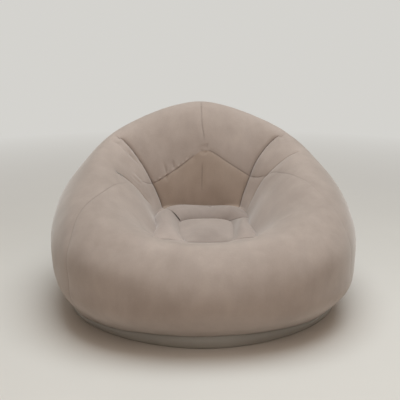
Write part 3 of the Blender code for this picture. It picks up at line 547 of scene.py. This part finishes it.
def belt_groove(side):
    """The belt seam, pulled smooth along parts of the arm, and stopping short of the weld spot."""
    angles, shares = BELTS[side].T
    strength = np.interp(angles, *zip(*BELT_STRENGTHS[side]))
    return Groove(angles, shares, strength, BELT_FORM, np.interp(angles, *zip(*BELT_SHADES[side])))


def centre_groove(side):
    """The upright seam of the back. It stops at the smooth weld spot and goes on below it."""
    shares = np.linspace(0, CENTRE_SEAM_END_SHARE, CENTRE_GROOVE_STEPS)
    strength = np.interp(shares, *zip(*CENTRE_STRENGTHS))
    return Groove(centre_angle(shares, side), shares, strength, CENTRE_FORM, CENTRE_SHADE * strength)


def fold(knots, form=FOLD_FORM, strength=1.0, start=0.3, end=0.3, shade=0.0):
    """A short fold through a few places, each an angle and a wall share."""
    path = smooth_path(knots, FOLD_STEPS)
    fades = faded(FOLD_STEPS, start, end)
    return Groove(path[:, 0], path[:, 1], strength * fades, form, shade * fades)


def belt_beads(side):
    """The small puckers that stand along one side of the drawn belt seam, each with a painted highlight.
    """
    first, last = BEAD_ANGLES
    angles = np.linspace(first, last, BEAD_STEPS)
    place = (angles - first) / (last - first)
    wander = BEAD_WANDER * np.sin(BEAD_WANDER_TURN * place)
    swing = np.sin(2 * np.pi * BEAD_COUNT * place + wander)
    fades = faded(BEAD_STEPS, BEAD_FADE_SHARE, BEAD_FADE_SHARE)
    beads = fades * (BEAD_MEAN + (1 - BEAD_MEAN) * swing)
    shares = belt_share(angles, side) - BEAD_LIFT_SHARE
    return Groove(angles, shares, -beads, BEAD_FORM, BEAD_PAINTED_HIGHLIGHT * np.clip(beads, 0, 1))


SHOULDER_FOLD = (
    (123.6, 0.659), (124.8, 0.697), (125.5, 0.736), (127.3, 0.770), (129.8, 0.802), (132.7, 0.825),
)
SHOULDER_RIDGE = ((126.0, 0.688), (127.7, 0.718), (128.3, 0.744), (129.5, 0.773), (131.4, 0.800))
ARM_FOLD = ((114.4, 0.792), (115.5, 0.813), (118.1, 0.835), (120.3, 0.856), (121.6, 0.878))
ARM_RIDGES = (
    ((113.5, 0.796), (116.3, 0.823), (119.3, 0.847), (120.7, 0.867)),
    ((117.9, 0.803), (119.3, 0.822), (121.8, 0.842), (123.7, 0.858)),
)
UPPER_ARM_FOLD = ((120.6, 0.808), (122.3, 0.824), (124.7, 0.842), (127.8, 0.854))
BACK_FOLDS = (
    ((147.0, 0.832), (147.5, 0.850), (147.8, 0.867), (147.5, 0.883), (147.7, 0.907)),
    ((154.9, 0.843), (154.3, 0.855), (154.2, 0.866), (154.5, 0.876)),
)
BACK_RIDGES = (
    ((149.3, 0.842), (149.5, 0.857), (149.2, 0.870), (148.7, 0.879)),
    ((156.4, 0.845), (156.1, 0.856), (156.0, 0.866), (156.1, 0.874)),
)
INNER_ARM_FOLD = ((62.8, 0.792), (62.0, 0.83), (61.2, 0.869))
INNER_ARM_RIDGE = ((54.5, 0.688), (51.5, 0.712), (49.8, 0.74), (50.2, 0.78))
# Each fold's shade is painted shade along its valley, and the arm ridges' shade below zero is a painted
# highlight
FOLDS = {
    "left": (
        fold(SHOULDER_FOLD, strength=1.5, start=0.25, end=0.4, shade=0.55),
        fold(SHOULDER_RIDGE, RIDGE_FORM, strength=-1.2),
        fold(ARM_FOLD, strength=0.7, start=0.4, end=0.5, shade=0.1),
        fold(UPPER_ARM_FOLD, strength=0.6, start=0.4, end=0.2, shade=0.15),
        *(fold(ridge, RIDGE_FORM, strength=-1.3, shade=-0.2) for ridge in ARM_RIDGES),
        *(fold(line, strength=0.9, start=0.4, end=0.25, shade=0.3) for line in BACK_FOLDS),
        *(fold(ridge, RIDGE_FORM, strength=-0.6) for ridge in BACK_RIDGES),
        fold(INNER_ARM_FOLD, SMALL_FOLD_FORM, strength=0.7, shade=0.1),
    ),
    "right": (fold(INNER_ARM_RIDGE, RIDGE_FORM, strength=-0.5),),
}
BEADS = {"left": (belt_beads("left"),), "right": ()}


def spot_fold(knots, side):
    """A short pucker at the weld spot, as seen from one half of the wall."""
    placed = [(angle if side == "right" else 360 - angle, share) for angle, share in knots]
    return fold(placed, SMALL_FOLD_FORM, PUCKER_STRENGTH, shade=PUCKER_LINE_SHADE)


def seam_grooves(side):
    """The creases and seams of one half of the wall."""
    return (
        crease_groove(BACK_CREASES[side], *BACK_CREASE_RUN, BACK_CREASE_FORM, BACK_CREASE_SHADE),
        crease_groove(ARM_CREASES[side], *ARM_CREASE_RUNS[side], ARM_CREASE_FORM, ARM_CREASE_SHADE),
        belt_groove(side),
        centre_groove(side),
    )


SPOT_FOLDS = {side: tuple(spot_fold(knots, side) for knots in SPOT_PUCKERS) for side in BELTS}
GROOVES = {side: seam_grooves(side) for side in BELTS}


def sway(points):
    """The slow unevenness of blown skin, from a few fixed waves, and never inwards."""
    return sum(size * (1 + np.sin(points @ np.array(way) + phase)) for way, phase, size in SWAY_WAVES)


def valve_flat(points):
    """The points near the valve brought onto its flange's plane, and how far each is from its axis."""
    away = (points - VALVE_CENTRE) @ VALVE_AXIS
    across = np.linalg.norm(points - VALVE_CENTRE - away[..., None] * VALVE_AXIS, axis=-1)
    reach = np.linalg.norm(points - VALVE_CENTRE, axis=-1)
    blend = smooth_step((VALVE_BLEND_RADIUS - reach) / (VALVE_BLEND_RADIUS - VALVE_FLAT_RADIUS))
    flat = points - (away * blend)[..., None] * VALVE_AXIS
    return flat, np.where(reach > VALVE_BLEND_RADIUS, np.inf, across)


def weld_spot(points, side):
    """How far the round weld spot dents the back, and how much paler it is."""
    angle, share = SPOT_PLACE
    centre = wall_point(angle if side == "right" else 360 - angle, share)
    away = np.linalg.norm(points - centre, axis=-1) / SPOT_RADIUS
    round_rim = smooth_step((1 - away) / (1 - SPOT_FLAT_SHARE))
    return SPOT_DENT * round_rim, -SPOT_PALENESS * round_rim


def painted_light_and_shade(angle, share):
    """Slow patches of painted light and shade: paler on the tops of the wall, darker near 65 degrees."""
    return sum(
        amount * np.exp(-(((angle - turn) / spread) ** 2) - ((share - place) / width) ** 2)
        for turn, spread, place, width, amount in PAINTED_LIGHT_AREAS
    )


def drawn_wall(angle, share, side):
    """Points of one half of the wall with its grooves and folds, and its shade values."""
    points = wall_point(angle, share)
    dark = np.zeros(points.shape[:-1])
    depth, light = weld_spot(points, side)
    for groove in GROOVES[side] + FOLDS[side] + BEADS[side] + SPOT_FOLDS[side]:
        more, near = groove.measure(points)
        depth += more
        dark = np.maximum(dark, near)
        light = np.minimum(light, near)
    depth -= sway(points * SIDE_FLIPS[side])
    placed = (points - wall_normal(angle, share) * depth[..., None]) * SIDE_FLIPS[side]
    # The shade values hold the seams' dark lines, painted shade in folds and puckers, the paler weld
    # spot, painted highlights on ridges and beads, and broad painted light and shade
    shade = dark + light + painted_light_and_shade(angle, share)
    return (valve_flat(placed)[0] if side == "right" else placed), shade


def wall_rows():
    """Row shares from the base weld to the belt's corner, closer together at the top."""
    steps = np.linspace(0, 1, WALL_ROWS + 1)
    return BELT_CORNER_SHARE * (1 - (1 - steps) ** ROW_GRADE)


def crowded(count, last):
    """Shares from 0 to 1, closer together at the start, and at the end too where it is asked for."""
    steps = np.linspace(0, 1, count + 1)
    rounded = 0.5 - 0.5 * np.cos(np.pi * steps)
    return EVEN_SHARE * steps + (1 - EVEN_SHARE) * rounded if last else steps**REAR_GRADE


def hood_grid(side):
    """Angles and shares of one hood: rows up the wall, columns from the belt seam to the centre."""
    angles, shares = [], []
    middle, rear = crowded(SIDE_COLUMNS, True)[:-1], crowded(REAR_COLUMNS, False)
    for row in wall_rows():
        stops = [
            belt_angle(row, side),
            crease_on_row(ARM_CREASES[side], row, side),
            crease_on_row(BACK_CREASES[side], row, side),
            float(centre_angle(row_share(row, CENTRE_ANGLE, side), side)),
        ]
        spans = zip(stops, stops[1:], (middle, middle, rear))
        line = np.concatenate([first + (last - first) * steps for first, last, steps in spans])
        angles.append(line)
        shares.append(row_share(row, line, side))
    return np.array(angles), np.array(shares)


HOOD_GRIDS = {side: hood_grid(side) for side in BELTS}
BACK_COLUMN = 2 * SIDE_COLUMNS


def front_rows(side):
    """Wall share and end angle of each row of the front panel, from the base weld to the seat."""
    angles, shares = HOOD_GRIDS[side]
    rows = [(share, belt_angle(share, side)) for share in wall_rows()]
    rows += list(zip(shares[-1, 1 : BACK_COLUMN + 1], angles[-1, 1 : BACK_COLUMN + 1]))
    start = rows[-1][0]
    for step in range(1, SEAT_ROWS + 1):
        share = start + (1 - start) * step / SEAT_ROWS
        rows.append((share, crease_angle(BACK_CREASES[side], share)))
    return np.array(rows)


def front_columns():
    """Column shares of the front panel, close together where the arm creases run."""
    wide = np.linspace(0, FINE_COLUMN_SHARE, WIDE_COLUMNS, endpoint=False)
    return np.concatenate([wide, np.linspace(FINE_COLUMN_SHARE, 1, FINE_COLUMNS + 1)])


def front_half(side):
    columns, ends = front_columns(), front_rows(side)
    middle = (front_rows("left")[:, :1] + front_rows("right")[:, :1]) / 2
    return drawn_wall(ends[:, 1:] * columns, middle + (ends[:, :1] - middle) * columns, side)


def lower_back_half(side):
    start = front_rows(side)[-1 - SEAT_ROWS, 0]
    angles, shares = [], []
    for step in range(SEAT_ROWS + 1):
        first = float(crease_angle(BACK_CREASES[side], start + (1 - start) * step / SEAT_ROWS))
        top = belt_share(CENTRE_ANGLE, side)
        last = centre_angle(top + (1 - top) * step / SEAT_ROWS, side)
        line = first + (last - first) * crowded(REAR_COLUMNS, False)
        top = belt_share(line, side)
        top[0] = start
        angles.append(line)
        shares.append(top + (1 - top) * step / SEAT_ROWS)
    return drawn_wall(np.array(angles), np.array(shares), side)


FRONTS = {side: front_half(side) for side in BELTS}
HOODS = {side: drawn_wall(*HOOD_GRIDS[side], side) for side in BELTS}
LOWER_BACKS = {side: lower_back_half(side) for side in BELTS}


def pulled(points, seam):
    """The grid with each edge drawn back by half a seam gap, where its seam can be seen."""
    moved = points.copy()
    gap = SEAM_GAP / 2 * np.clip((seam - SEAM_SEEN) / SEAM_SEEN, 0, 1)
    edges = np.s_[0], np.s_[-1], np.s_[:, 0], np.s_[:, -1]
    inners = np.s_[1], np.s_[-2], np.s_[:, 1], np.s_[:, -2]
    for edge, inner in zip(edges, inners):
        moved[edge] += unit(points[inner] - points[edge]) * gap[edge][:, None]
    return moved


def added(name, data):
    """A new object with its data, in the scene."""
    made = bpy.data.objects.new(name, data)
    bpy.context.scene.collection.objects.link(made)
    return made


def sheet_object(name, points, faces, seam, paint, body, nodes):
    """A shell over the given faces, SKIN thick on its inner side."""
    mesh = bpy.data.meshes.new(name)
    mesh.vertices.add(len(points))
    mesh.vertices.foreach_set("co", points.astype(np.float32).ravel())
    sizes = np.array([len(face) for face in faces], np.int32)
    corners = np.concatenate([np.array(face, np.int32) for face in faces])
    mesh.loops.add(len(corners))
    mesh.loops.foreach_set("vertex_index", corners)
    mesh.polygons.add(len(faces))
    starts = np.concatenate([[0], np.cumsum(sizes)[:-1]]).astype(np.int32)
    mesh.polygons.foreach_set("loop_start", starts)
    mesh.update(calc_edges=True)
    loop_edges = np.empty(len(mesh.loops), np.int32)
    mesh.loops.foreach_get("edge_index", loop_edges)
    rim = np.bincount(loop_edges, minlength=len(mesh.edges)) == 1
    mesh.attributes.new("sharp_edge", "BOOLEAN", "EDGE").data.foreach_set("value", rim)
    # The seam values: dark weld lines, painted shade and painted highlights
    layer = mesh.attributes.new("seam", "FLOAT", "POINT")
    layer.data.foreach_set("value", seam.astype(np.float32).ravel())
    mesh.shade_smooth()
    mesh.materials.append(paint)
    piece = added(name, mesh)
    solid = piece.modifiers.new("Skin", "SOLIDIFY")
    solid.thickness = SKIN
    solid.offset = -1
    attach(piece, body)
    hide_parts(*nodes)
    return piece


def quads_over(index):
    """The quads of a grid of point numbers."""
    corners = [index[:-1, :-1], index[:-1, 1:], index[1:, 1:], index[1:, :-1]]
    return np.stack(corners, axis=-1).reshape(-1, 4)


def grid_faces(rows, columns, flip):
    """Quads over a grid of points, facing one way or the other."""
    quads = quads_over(np.arange(rows * columns).reshape(rows, columns))
    return quads[:, ::-1] if flip else quads


def grid_piece(name, points, seam, flip, paint, nodes):
    rows, columns = points.shape[:2]
    faces = grid_faces(rows, columns, flip)
    return sheet_object(name, points.reshape(-1, 3), faces, seam, paint, "root", nodes)


def polar_piece(name, rings, centre, seam, flip, paint, nodes):
    """A shell over closed rings, from the outside in, and a centre point."""
    count = len(rings[0])
    points = np.concatenate([np.concatenate(rings), [centre]])
    index = np.arange(len(rings) * count).reshape(len(rings), count)
    index = np.concatenate([index, index[:, :1]], axis=1)
    last = index[-1]
    fan = np.stack([last[:-1], last[1:], np.full(count, len(points) - 1)], axis=-1)
    faces = [face[::-1] if flip else face for face in [*quads_over(index), *fan]]
    return sheet_object(name, points, faces, seam, paint, "root", nodes)


def node(tree, kind, **values):
    made = tree.nodes.new(kind)
    for name, value in values.items():
        setattr(made, name, value)
    return made


def noise(tree, place, scale, detail, stretch=None):
    """A noise texture at a scale in waves a metre."""
    if stretch:
        mapping = node(tree, "ShaderNodeMapping")
        mapping.inputs["Scale"].default_value = stretch
        tree.links.new(place, mapping.inputs["Vector"])
        place = mapping.outputs["Vector"]
    made = node(tree, "ShaderNodeTexNoise")
    made.inputs["Scale"].default_value = scale
    made.inputs["Detail"].default_value = detail
    tree.links.new(place, made.inputs["Vector"])
    return made.outputs["Fac"]


def stretched(tree, value, low, high, to_low, to_high):
    made = node(tree, "ShaderNodeMapRange")
    for name, number in (("From Min", low), ("From Max", high), ("To Min", to_low), ("To Max", to_high)):
        made.inputs[name].default_value = number
    tree.links.new(value, made.inputs["Value"])
    return made.outputs["Result"]


def swung(tree, value, swing):
    """A noise value turned into a factor around one."""
    return stretched(tree, value, *NOISE_RANGE, 1 - swing, 1 + swing)


def times(tree, first, second):
    made = node(tree, "ShaderNodeMath", operation="MULTIPLY")
    tree.links.new(first, made.inputs[0])
    tree.links.new(second, made.inputs[1])
    return made.outputs[0]


def brightened(tree, colour, value):
    made = node(tree, "ShaderNodeVectorMath", operation="SCALE")
    tree.links.new(colour, made.inputs[0])
    tree.links.new(value, made.inputs["Scale"])
    return made.outputs["Vector"]


def blank_material(name):
    made = bpy.data.materials.new(name)
    made.use_nodes = True
    tree = made.node_tree
    return made, tree, tree.nodes["Principled BSDF"]


def bumped(tree, shader, height, strength, distance):
    bump = node(tree, "ShaderNodeBump")
    bump.inputs["Strength"].default_value = strength
    bump.inputs["Distance"].default_value = distance
    tree.links.new(height, bump.inputs["Height"])
    tree.links.new(bump.outputs["Normal"], shader.inputs["Normal"])


def flock(name):
    """Flocked vinyl: a short velvet pile, brushed in patches, flattened and darker along the welds, with
    painted shade and highlights.
    """
    made, tree, shader = blank_material(name)
    place = node(tree, "ShaderNodeTexCoord").outputs["Object"]
    mix = node(tree, "ShaderNodeMix", data_type="RGBA")
    patches = stretched(tree, noise(tree, place, PATCH_WAVES, 4.0), *PATCH_RANGE, 0, 1)
    tree.links.new(patches, mix.inputs["Factor"])
    mix.inputs["B"].default_value, mix.inputs["A"].default_value = FLOCK_COLOURS[name]
    brushed = swung(tree, noise(tree, place, BRUSH_WAVES, 3.0, BRUSH_STRETCH), BRUSH_SWING)
    grain = swung(tree, noise(tree, place, GRAIN_WAVES, 2.0), GRAIN_SWING)
    # The seam values darken the flock along the welds, and carry painted shade and painted highlights as
    # well
    seam = node(tree, "ShaderNodeAttribute", attribute_name="seam").outputs["Fac"]
    pressed_and_painted_light = stretched(tree, seam, -1, 1, *SHADE_FACTORS)
    value = times(tree, times(tree, brushed, grain), pressed_and_painted_light)
    tree.links.new(brightened(tree, mix.outputs["Result"], value), shader.inputs["Base Color"])
    shader.inputs["Roughness"].default_value = 0.95
    shader.inputs["Specular IOR Level"].default_value = 0.04
    shader.inputs["Sheen Weight"].default_value = 0.55
    shader.inputs["Sheen Roughness"].default_value = 0.45
    shader.inputs["Sheen Tint"].default_value = (1.0, 0.96, 0.92, 1.0)
    bumped(tree, shader, noise(tree, place, PILE_WAVES, 3.0), 0.35, PILE_HEIGHT)
    return made


def vinyl(name):
    """Plain vinyl, moulded plastic or silicone, with faint cloudiness and a fine grain."""
    colour, roughness, swing = VINYLS[name]
    made, tree, shader = blank_material(name)
    place = node(tree, "ShaderNodeTexCoord").outputs["Object"]
    base = node(tree, "ShaderNodeRGB")
    base.outputs[0].default_value = colour
    cloud = swung(tree, noise(tree, place, CLOUD_WAVES, 3.0), swing)
    tree.links.new(brightened(tree, base.outputs[0], cloud), shader.inputs["Base Color"])
    shine = noise(tree, place, SHINE_WAVES, 3.0)
    rough = stretched(tree, shine, *NOISE_RANGE, roughness - SHINE_SWING, roughness + SHINE_SWING)
    tree.links.new(rough, shader.inputs["Roughness"])
    bumped(tree, shader, noise(tree, place, VINYL_GRAIN_WAVES, 2.0), 0.12, VINYL_GRAIN_HEIGHT)
    return made


def valve_hole(points, faces):
    """The points and faces of the right hood with the valve's round hole, whose rim the flange hides."""
    flat, across = valve_flat(points)
    opened = (across[faces] < VALVE_HOLE_RADIUS).any(axis=1)
    rim = np.intersect1d(faces[opened], faces[~opened])
    arms = flat[rim] - VALVE_CENTRE
    arms -= (arms @ VALVE_AXIS)[:, None] * VALVE_AXIS
    flat[rim] = VALVE_CENTRE + VALVE_HOLE_RADIUS * unit(arms)
    kept = np.unique(faces[~opened])
    place = np.full(len(flat), -1)
    place[kept] = np.arange(len(kept))
    return flat[kept], place[faces[~opened]], kept


def wall_pieces(paint, shaded_back_paint):
    """The front panel, the two lower backs and the two hoods, the right one with the valve's hole."""
    points = np.concatenate([FRONTS["left"][0][:, :0:-1], FRONTS["right"][0]], axis=1)
    seam = np.concatenate([FRONTS["left"][1][:, :0:-1], FRONTS["right"][1]], axis=1)
    grid_piece("front_panel_skin", pulled(points, seam), seam, False, paint, ["front_panel"])
    for side in BELTS:
        points, seam = LOWER_BACKS[side]
        points = pulled(points, seam)
        name = "lower_back_" + side
        # The lower backs take the flock painted darker as shade
        grid_piece(name + "_skin", points, seam, side == "left", shaded_back_paint, [name])
    points, seam = HOODS["left"]
    grid_piece("hood_left_skin", pulled(points, seam), seam, True, paint, ["hood_left"])
    points, seam = HOODS["right"]
    faces = grid_faces(*points.shape[:2], False)
    points, faces, kept = valve_hole(pulled(points, seam).reshape(-1, 3), faces)
    seam = seam.ravel()[kept]
    sheet_object("hood_right_skin", points, faces, seam, paint, "root", ["hood_right"])


def valley_height(y):
    """The height of the pad's edge, which falls slowly towards the front."""
    return PAD_VALLEY_HEIGHT + PAD_SLOPE * (y - PAD_CENTRE_Y)


def pad_line(count, start, end):
    """Points of one side of the pad, from corner to corner, with its corners drawn in."""
    share = np.linspace(0, 1, count)[:, None]
    corners = [
        np.array([PAD_CENTRE_X + way * PAD_HALF_WIDTHS[reach], PAD_REACHES[reach], 0])
        for reach, way in (start, end)
    ]
    middle = np.array([PAD_CENTRE_X, PAD_CENTRE_Y, 0])
    points = corners[0] * (1 - share) + corners[1] * share - middle
    drawn_in = (1 - PAD_CORNER_SHARE) * abs(2 * share - 1) ** PAD_CORNER_BEND
    points = middle + points * (1 - drawn_in)
    points[:, 2] = valley_height(points[:, 1])
    return points


def seat_edges():
    """Each lobe's line on the wall's foot and on the pad, both clockwise as seen from above."""
    walls = {side: FRONTS[side][0][-1] for side in BELTS}
    backs = {side: LOWER_BACKS[side][0][-1] for side in BELTS}
    columns = front_columns()
    corner = int(abs(columns - SEAT_CORNER_SHARE).argmin())
    ends = {side: int(abs(columns - share).argmin()) for side, share in SEAT_REAR_SHARES.items()}
    outer = {
        "rear": np.concatenate([
            walls["left"][ends["left"] : -1],
            backs["left"][:-1],
            backs["right"][:0:-1],
            walls["right"][: ends["right"] - 1 : -1],
        ]),
        "right": walls["right"][ends["right"] : corner - 1 : -1],
        "front": np.concatenate([walls["right"][corner:0:-1], walls["left"][: corner + 1]]),
        "left": walls["left"][corner : ends["left"] + 1],
    }
    corners = {
        "rear": (("rear", -1), ("rear", 1)),
        "right": (("rear", 1), ("front", 1)),
        "front": (("front", 1), ("front", -1)),
        "left": (("front", -1), ("rear", -1)),
    }
    inner = {side: pad_line(len(outer[side]), *corners[side]) for side in outer}
    return outer, inner


def lobe_points(outer, inner, side):
    """A lobe of the seat and its shades: rows from the wall to the pad, bulging between them."""
    crown, mitres, powers, shades, (lean, steep, flat) = LOBES[side]
    lengths = np.linalg.norm(np.diff((outer + inner) / 2, axis=0), axis=1)
    along = np.concatenate([[0], np.cumsum(lengths)]) / lengths.sum() * 2 - 1
    mitre, power = (np.where(along < 0, *ends) for ends in (mitres, powers))
    lift = mitre + (crown - mitre) * (1 - abs(along) ** power)
    pucker = np.zeros_like(along)
    if side == "rear":
        lift *= 1 - REAR_DIP_SHARE * np.exp(-((along / REAR_DIP_WIDTH) ** 2))
        pucker = np.exp(-(((along - PUCKER_PLACE[0]) / PUCKER_SIZE[0]) ** 2))
    rows, seam = [], []
    for share in 0.5 - 0.5 * np.cos(np.pi * np.linspace(0, 1, LOBE_ROWS + 1)):
        row = outer * (1 - share) + inner * share
        here = pucker * np.exp(-(((share - PUCKER_PLACE[1]) / PUCKER_SIZE[1]) ** 2))
        arch = np.sin(np.pi * share**lean) ** (steep + (flat - steep) * share)
        row[:, 2] += lift * arch - PUCKER_DEPTH * here
        rows.append(row)
        # Painted shade in the pucker and along the valley at the pad
        seam.append(np.maximum(PUCKER_SHADE * here, FOOT_SHADES[side] * share**FOOT_SHADE_POWER))
    rows, seam = np.array(rows), np.array(seam)
    for end, shade in zip((0, -1), shades):
        away = np.linalg.norm(rows - rows[:, end][:, None], axis=-1)
        seam = np.maximum(seam, shade * np.exp(-((away / MITRE_SHADE_WIDTH) ** 2)))
    # Painted light and shade of the lobe, spread from end to end
    return rows, seam + (1 - seam) * np.interp(along, (-1, 1), LOBE_PAINTED_LIGHT[side])


def along_sides(inner, values, corner):
    """Values of the pad's four sides spread along its edge, going over into one at the corners."""
    spread = []
    for side in PAD_ORDER:
        along = np.linspace(-1, 1, len(inner[side]))[:-1]
        spread.append(corner + (values[side] - corner) * (1 - along**PAD_SPREAD_POWER))
    return np.concatenate(spread)


def pad_points(inner):
    """The pad's rings from its edge inwards, its crest, and its painted shade and light."""
    loop = np.concatenate([inner[side][:-1] for side in PAD_ORDER])
    powers = along_sides(inner, PAD_POWERS, PAD_CORNER_POWER)
    crest = np.array([PAD_CENTRE_X, PAD_CREST_Y, 0])
    rings = []
    for share in np.linspace(0, 1, PAD_RINGS + 1)[:-1] ** PAD_RING_GRADE:
        ring = loop * (1 - share) + crest * share
        ring[:, 2] = valley_height(ring[:, 1]) + PAD_CROWN * np.sin(np.pi / 2 * share) ** powers
        rings.append(ring)
    crest[2] = valley_height(PAD_CREST_Y) + PAD_CROWN
    rings[0] = rings[0] + unit(rings[1] - rings[0]) * SEAM_GAP / 2
    places = np.concatenate(rings + [crest[None]])
    ahead = (PAD_CREST_Y - places[:, 1]) / (PAD_CREST_Y - PAD_REACHES["front"])
    across = (places[:, 0] - PAD_CENTRE_X) / PAD_HALF_WIDTHS["front"]
    # Painted shade over the pad's front and along its edge, then painted light over all of it
    seam = PAD_FRONT_SHADE * smooth_step(ahead) * (1 - smooth_step(abs(across)))
    edge = along_sides(inner, PAD_EDGE_SHADES, PAD_CORNER_SHADE)
    for row in range(PAD_EDGE_ROWS):
        here = slice(row * len(loop), (row + 1) * len(loop))
        seam[here] = np.maximum(seam[here], edge * (1 - row / PAD_EDGE_ROWS))
    return rings, crest, seam + (1 - seam) * PAD_PAINTED_LIGHT


def seat_pieces(paint):
    """The ring of lobes and the pad inside it, each a crowned skin held up by the air below."""
    outer, inner = seat_edges()
    for side in LOBES:
        points, seam = lobe_points(outer[side], inner[side], side)
        seam[:1] = np.maximum(seam[:1], LOBE_WALL_SHADE)
        name = "seat_" + side
        piece = grid_piece(name + "_skin", pulled(points, seam), seam, False, paint, [name])
    rings, crest, seam = pad_points(inner)
    piece = polar_piece("seat_pad_skin", rings, crest, seam, False, paint, ["seat_pad"])


def base_piece(paint):
    """The plain sheet under the lounger, with the margin that turns up to the weld."""
    halves = {side: np.concatenate([FRONTS[side][0][0], HOODS[side][0][0][1:]]) for side in BELTS}
    loop = np.concatenate([halves["right"], halves["left"][-2:0:-1]])
    height = loop[:, 2:]
    outward = unit(loop * np.array([1, 1, 0]))
    rings = []
    for bulge, rise in smooth_path(BAND_SHARES, BAND_STEPS):
        ring = loop + outward * height * bulge
        ring[:, 2] = (height[:, 0] - SEAM_GAP / 2) * rise
        rings.append(ring)
    foot = loop - outward * BAND_TUCK
    foot[:, 2] = 0
    rings += [foot] + [foot * share for share in BASE_RING_SHARES]
    seam = np.zeros(len(rings) * len(loop) + 1)
    polar_piece("base_sheet_skin", rings, (0, 0, 0), seam, True, paint, ["base_sheet"])


def paint_nodes(paint, names):
    for name in names:
        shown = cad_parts[name]
        shown.data.materials.clear()
        shown.data.materials.append(paint)


def area_light(name):
    """A round lamp that faces the lounger."""
    place, power, colour = LAMPS[name]
    light = bpy.data.lights.new(name, "AREA")
    light.shape = "DISK"
    light.size = LAMP_SIZE
    light.energy = power
    light.color = colour
    lamp = added(name, light)
    way = np.array(LAMP_AIM) - np.array(place)
    lamp.location = place
    lamp.rotation_euler = (
        math.atan2(math.hypot(way[0], way[1]), -way[2]),
        0,
        math.atan2(way[1], way[0]) - math.pi / 2,
    )


def seen_straight(tree, lit, pale, out, amount=None):
    """Shows the pale shader to camera, glossy and transmission rays, and the lit one to all others."""
    path = node(tree, "ShaderNodeLightPath")
    seen = path.outputs["Is Camera Ray"]
    for kind in ("Is Glossy Ray", "Is Transmission Ray"):
        either = node(tree, "ShaderNodeMath", operation="MAXIMUM")
        tree.links.new(seen, either.inputs[0])
        tree.links.new(path.outputs[kind], either.inputs[1])
        seen = either.outputs[0]
    mix = node(tree, "ShaderNodeMixShader")
    tree.links.new(times(tree, seen, amount) if amount else seen, mix.inputs["Fac"])
    tree.links.new(lit, mix.inputs[1])
    tree.links.new(pale, mix.inputs[2])
    tree.links.new(mix.outputs[0], out.inputs["Surface"])


def pale_floor():
    """A pale floor that goes over into the surround far from the lounger."""
    mesh = bpy.data.meshes.new("floor")
    corners = [(x * FLOOR_REACH, y * FLOOR_REACH, 0) for x, y in ((-1, -1), (1, -1), (1, 1), (-1, 1))]
    mesh.from_pydata(corners, [], [(0, 1, 2, 3)])
    floor = added("floor", mesh)
    floor.location.z = -FLOOR_DROP
    made, tree, shader = blank_material("floor")
    place = node(tree, "ShaderNodeTexCoord").outputs["Object"]
    base = node(tree, "ShaderNodeRGB")
    base.outputs[0].default_value = FLOOR_COLOUR
    cloud = swung(tree, noise(tree, place, FLOOR_CLOUD_WAVES, 3.0), FLOOR_CLOUD_SWING)
    tree.links.new(brightened(tree, base.outputs[0], cloud), shader.inputs["Base Color"])
    shader.inputs["Roughness"].default_value = 0.6
    across = node(tree, "ShaderNodeVectorMath", operation="LENGTH")
    tree.links.new(place, across.inputs[0])
    far = stretched(tree, across.outputs["Value"], FLOOR_FADE_START, FLOOR_FADE_END, 0, 1)
    pale = node(tree, "ShaderNodeEmission")
    pale.inputs["Color"].default_value = SURROUND_COLOUR
    seen_straight(tree, shader.outputs[0], pale.outputs[0], tree.nodes["Material Output"], far)
    mesh.materials.append(made)


def surround():
    """A pale surround, which lights the lounger with a weaker and warmer light than it shows."""
    world = bpy.data.worlds.new("studio")
    bpy.context.scene.world = world
    world.use_nodes = True
    tree = world.node_tree
    tree.nodes.clear()
    out = node(tree, "ShaderNodeOutputWorld")
    soft, pale = node(tree, "ShaderNodeBackground"), node(tree, "ShaderNodeBackground")
    soft.inputs["Color"].default_value = SOFT_COLOUR
    soft.inputs["Strength"].default_value = SOFT_STRENGTH
    pale.inputs["Color"].default_value = SURROUND_COLOUR
    pale.inputs["Strength"].default_value = 1.0
    seen_straight(tree, soft.outputs[0], pale.outputs[0], out)


def camera():
    data = bpy.data.cameras.new("camera")
    data.lens = CAMERA_LENS
    data.sensor_width = CAMERA_SENSOR
    shot = added("camera", data)
    azimuth = math.radians(CAMERA_AZIMUTH)
    shot.location = (
        CAMERA_DISTANCE * math.sin(azimuth),
        -CAMERA_DISTANCE * math.cos(azimuth),
        CAMERA_HEIGHT,
    )
    shot.rotation_euler = (math.radians(90 - CAMERA_PITCH), 0, -math.radians(CAMERA_TURN))
    bpy.context.scene.camera = shot


def main():
    wall_pieces(flock("flocked_skin"), flock("flocked_back_painted_shade"))
    seat_pieces(flock("flocked_seat"))
    base_piece(vinyl("base_vinyl"))
    webs = [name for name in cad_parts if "web" in name or "tie" in name]
    paint_nodes(vinyl("web_vinyl"), webs)
    paint_nodes(vinyl("valve_plastic"), ("valve_base", "valve_insert", "valve_cap"))
    paint_nodes(vinyl("flap_silicone"), ("valve_flap",))
    pale_floor()
    surround()
    for name in LAMPS:
        area_light(name)
    camera()


main()
bpy.context.scene.view_settings.view_transform = "Standard"
